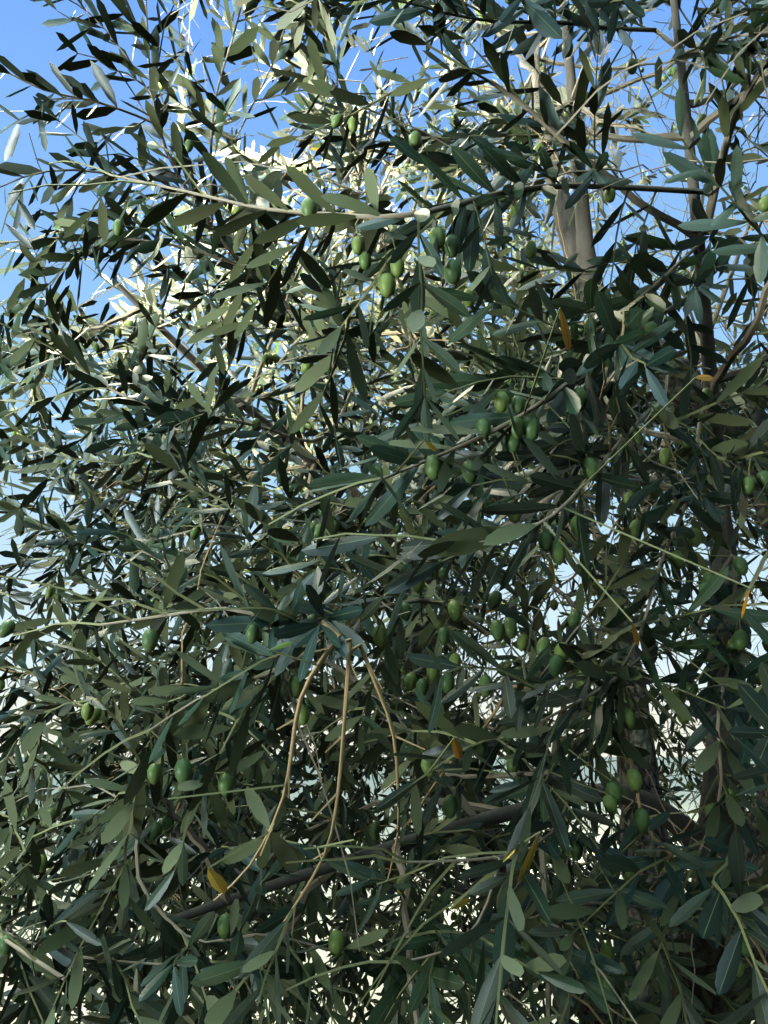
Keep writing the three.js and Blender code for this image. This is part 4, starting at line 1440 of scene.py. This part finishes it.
def shaderGroup(name):                # an empty group that gives out a colour and a fine height
    group = bpy.data.node_groups.new(name, "ShaderNodeTree")
    group.interface.new_socket("Colour", in_out="OUTPUT", socket_type="NodeSocketColor")
    group.interface.new_socket("Height", in_out="OUTPUT", socket_type="NodeSocketFloat")
    return group, group.nodes.new("NodeGroupOutput")


def barkColours():                    # fissured bark on the thick wood, and smooth bark on the thin
    group, result = shaderGroup("barkColours")
    place = nodeIn(group, "ShaderNodeAttribute", attribute_name="barkSpace").outputs["Vector"]
    plates = nodeIn(group, "ShaderNodeAttribute", attribute_name="plates").outputs["Fac"]
    age = nodeIn(group, "ShaderNodeAttribute", attribute_name="barkAge").outputs["Fac"]
    grain = noiseIn(group, vectorIn(group, "MULTIPLY", place, barkPatterns["stretch"]), "grain")
    patches = noiseIn(group, place, "patches")
    tints = {name: (*linear(*colour), 1) for name, colour in barkTints.items()}
    worn = mixIn(group, grain, tints["plate"], tints["worn"])
    # Darkest deep in the fissures: partly the bark's own darker colour there, partly painted shade in
    # them.
    old = mixIn(group, plates, tints["fissure"], worn)
    young = mixIn(group, grain, tints["smooth"], tints["plate"])
    isOld = nodeIn(group, "ShaderNodeMapRange", [("Value", age), ("From Max", barkPatterns["oldFrom"])])
    colour = mixIn(group, isOld.outputs[0], young, old)
    least, most, share = barkPatterns["lichen"]
    crusted = [("Value", patches), ("From Min", least), ("From Max", most), ("To Max", share)]
    crust = nodeIn(group, "ShaderNodeMapRange", crusted).outputs[0]
    group.links.new(mixIn(group, crust, colour, tints["lichen"]), result.inputs["Colour"])
    raised = mathIn(group, "MULTIPLY", plates, barkPatterns["plateHeight"])
    group.links.new(mathIn(group, "ADD", grain, raised), result.inputs["Height"])
    return group


def barkMaterial(name, group, strength, distance):
    material = plainMaterial(name, linear(*barkTints["plate"]), bark["roughness"])
    tree = material.node_tree
    shader = tree.nodes["Principled BSDF"]
    pattern = tree.nodes.new("ShaderNodeGroup")
    pattern.node_tree = group
    height = [("Strength", strength), ("Distance", distance), ("Height", pattern.outputs["Height"])]
    bump = nodeIn(tree, "ShaderNodeBump", height)
    tree.links.new(pattern.outputs["Colour"], shader.inputs["Base Color"])
    tree.links.new(bump.outputs["Normal"], shader.inputs["Normal"])
    return material


def makeBark():
    parts = [makeTrunk()] + [makeTube(name, boughRows(name)) for name in boughs]
    bpy.ops.object.select_all(action="DESELECT")
    for part in parts:
        part.select_set(True)
    bpy.context.view_layer.objects.active = parts[0]
    bpy.ops.object.join()
    piece = bpy.context.active_object
    piece.name = piece.data.name = "bark"
    fuse = piece.modifiers.new("fuse", "REMESH")
    fuse.mode = "VOXEL"
    fuse.voxel_size = bark["voxel"]
    soften = piece.modifiers.new("soften", "SMOOTH")
    soften.iterations = bark["soften"]
    for modifier in ("fuse", "soften"):
        bpy.ops.object.modifier_apply(modifier=modifier)
    readBarkSpace(piece)
    relief = piece.modifiers.new("relief", "NODES")
    relief.node_group = reliefGroup()
    bpy.ops.object.modifier_apply(modifier="relief")
    bpy.ops.object.mode_set(mode="EDIT")
    bpy.ops.mesh.select_all(action="SELECT")
    bpy.ops.mesh.bisect(plane_co=(0, 0, 0), plane_no=(0, 0, 1), use_fill=True, clear_inner=True)
    bpy.ops.object.mode_set(mode="OBJECT")
    piece.data.materials.clear()
    piece.data.materials.append(barkMaterial("oldBark", barkColours(), *bark["bump"]))
    finishPiece(piece, ["trunk", *boughs], smoothing["bark"])


makeBark()

limbShape = {
    "sides": 10, "steps": 22, "stemSteps": 16, "thin": 0.0055, "bump": (0.4, 0.0015),
    "flare": (0.55, 0.03),            # how much wider it starts on its bough, and how far that lasts
}


def makeLimbs():                      # the limbs and the stems of the masses
    tubes = []
    wider, fade = limbShape["flare"]
    for mass in masses:
        if mass["share"] < 1:
            points, radii, far = limbRows(mass["limb"], limbShape["steps"])
            carrier = limbs[mass["carrier"]]["radii"]
            sunk = carrier[0] + (carrier[1] - carrier[0]) * mass["share"]
            radii = radii * (1 + wider * np.exp(-np.maximum(far - sunk, 0) / fade))
            tubes.append((points, radii, limbShape["sides"]))
        shares = np.linspace(0, 1, limbShape["stemSteps"] + 1)
        points = [curveAt(mass["stem"], share)[0] for share in shares]
        radii = np.linspace(stemRule["radii"][0], limbShape["thin"], len(points))
        tubes.append((points, radii, limbShape["sides"]))
    vertexSets, quadSets, triangleSets, total = [], [], [], 0
    for count in {len(tube[0]) for tube in tubes}:
        vertices, quads, triangles = sweepTubes([tube for tube in tubes if len(tube[0]) == count])
        vertexSets.append(vertices)
        quadSets.append(quads + total)
        triangleSets.append(triangles + total)
        total += len(vertices)
    faceSets = [np.concatenate(quadSets), np.concatenate(triangleSets)]
    indexSets = [np.zeros(len(faces)) for faces in faceSets]
    material = barkMaterial("youngBark", youngColours(), *limbShape["bump"])
    piece = meshFrom("limbs", np.concatenate(vertexSets), faceSets, indexSets, [material])
    limbNodes = [mass["limb"] for mass in masses if mass["share"] < 1]
    finishPiece(piece, limbNodes, smoothing["limbs"])


def youngColours():                   # the smooth bark of the limbs
    group, result = shaderGroup("youngColours")
    grain = noiseIn(group, group.nodes.new("ShaderNodeTexCoord").outputs["Object"], "youngGrain")
    plate, smooth = ((*linear(*barkTints[name]), 1) for name in ("plate", "smooth"))
    group.links.new(mixIn(group, grain, plate, smooth), result.inputs["Colour"])
    group.links.new(grain, result.inputs["Height"])
    return group


makeLimbs()


ground = {"size": 60, "colour": (196, 191, 168), "roughness": 0.8}


def makeFloor():
    bpy.ops.mesh.primitive_plane_add(size=ground["size"], location=(0, 0, 0))
    floor = bpy.context.active_object
    floor.name = "floor"
    paint = plainMaterial("floorPaint", linear(*ground["colour"]), ground["roughness"])
    floor.data.materials.append(paint)


def addLight(name, lamp):
    data = bpy.data.lights.new(name, "AREA")
    data.shape = "DISK"
    data.size = lamp["size"]
    data.energy = lamp["power"]
    data.color = lamp["colour"]
    data.spread = math.radians(lamp["spread"])
    light = bpy.data.objects.new(name, data)
    light.location = lamp["place"]
    aim = Vector(lamp["aim"]) - Vector(lamp["place"])
    light.rotation_euler = aim.to_track_quat("-Z", "Y").to_euler()
    bpy.context.collection.objects.link(light)


# The sky, by the height of the direction from 0 to 1: what the camera sees, and what lights the tree.
lighting = {
    "seen": [(0.0, (0.79, 0.81, 0.71)), (0.07, (0.64, 0.79, 0.85)), (0.34, (0.36, 0.6, 0.84)),
             (0.72, (0.2, 0.4, 0.86))],
    "glow": [(0.0, (0.05, 0.08, 0.045)), (0.35, (0.23, 0.33, 0.36)), (1.0, (1.15, 1.6, 2.0))],
    "glowStrength": 0.94,
    "bounces": 5,
    "diffuseBounces": 0,              # the shade inside the crown stays deep
}
lamps = {
    "key": {"place": (-4.5, 2.6, 9), "aim": (0, 0, 2.6), "size": 3.5, "spread": 180,
            "power": 920, "colour": (1, 0.9, 0.66)},              # the sun, from behind the crown
    "fill": {"place": (-3.2, -2.6, 9.5), "aim": (0, 0, 2), "size": 6, "spread": 180,
             "power": 405, "colour": (0.78, 0.95, 0.97)},
    "side": {"place": (-6, -5, 1.2), "aim": (-1.1, -0.8, 3.4), "size": 2.5, "spread": 34,
             "power": 54, "colour": (0.86, 0.96, 1)},
    "beam": {"place": (-6, -8, 8), "aim": (-1.1, 0.9, 3.3), "size": 1.2, "spread": 16,
             "power": 96, "colour": (1, 0.93, 0.72)},             # on the pale sprays far up on the left
}


def skyRamp(tree, height, stops):
    ramp = nodeIn(tree, "ShaderNodeValToRGB", [("Fac", height)])
    for n, (place, colour) in enumerate(stops):
        stop = ramp.color_ramp.elements[n] if n < 2 else ramp.color_ramp.elements.new(place)
        stop.position = place
        stop.color = (*colour, 1)
    return ramp.outputs["Color"]


def makeLight():
    world = bpy.data.worlds.new("studio")
    world.use_nodes = True
    tree = world.node_tree
    direction = tree.nodes.new("ShaderNodeTexCoord").outputs["Generated"]
    height = nodeIn(tree, "ShaderNodeSeparateXYZ", [(0, direction)]).outputs["Z"]
    glow, seen = (nodeIn(tree, "ShaderNodeBackground", [("Color", skyRamp(tree, height, lighting[name])),
                                                        ("Strength", strength)])
                  for name, strength in (("glow", lighting["glowStrength"]), ("seen", 1.0)))
    rays = tree.nodes.new("ShaderNodeLightPath")
    halves = [("Fac", rays.outputs["Is Camera Ray"]), (1, glow.outputs[0]), (2, seen.outputs[0])]
    both = nodeIn(tree, "ShaderNodeMixShader", halves)
    tree.links.new(both.outputs[0], tree.nodes["World Output"].inputs["Surface"])
    bpy.context.scene.world = world
    for name, lamp in lamps.items():
        addLight(name, lamp)
    bpy.context.scene.view_settings.view_transform = "Standard"
    bpy.context.scene.view_settings.look = "Medium High Contrast"
    bpy.context.scene.cycles.max_bounces = lighting["bounces"]
    bpy.context.scene.cycles.diffuse_bounces = lighting["diffuseBounces"]


makeFloor()
makeLight()
makeCamera()
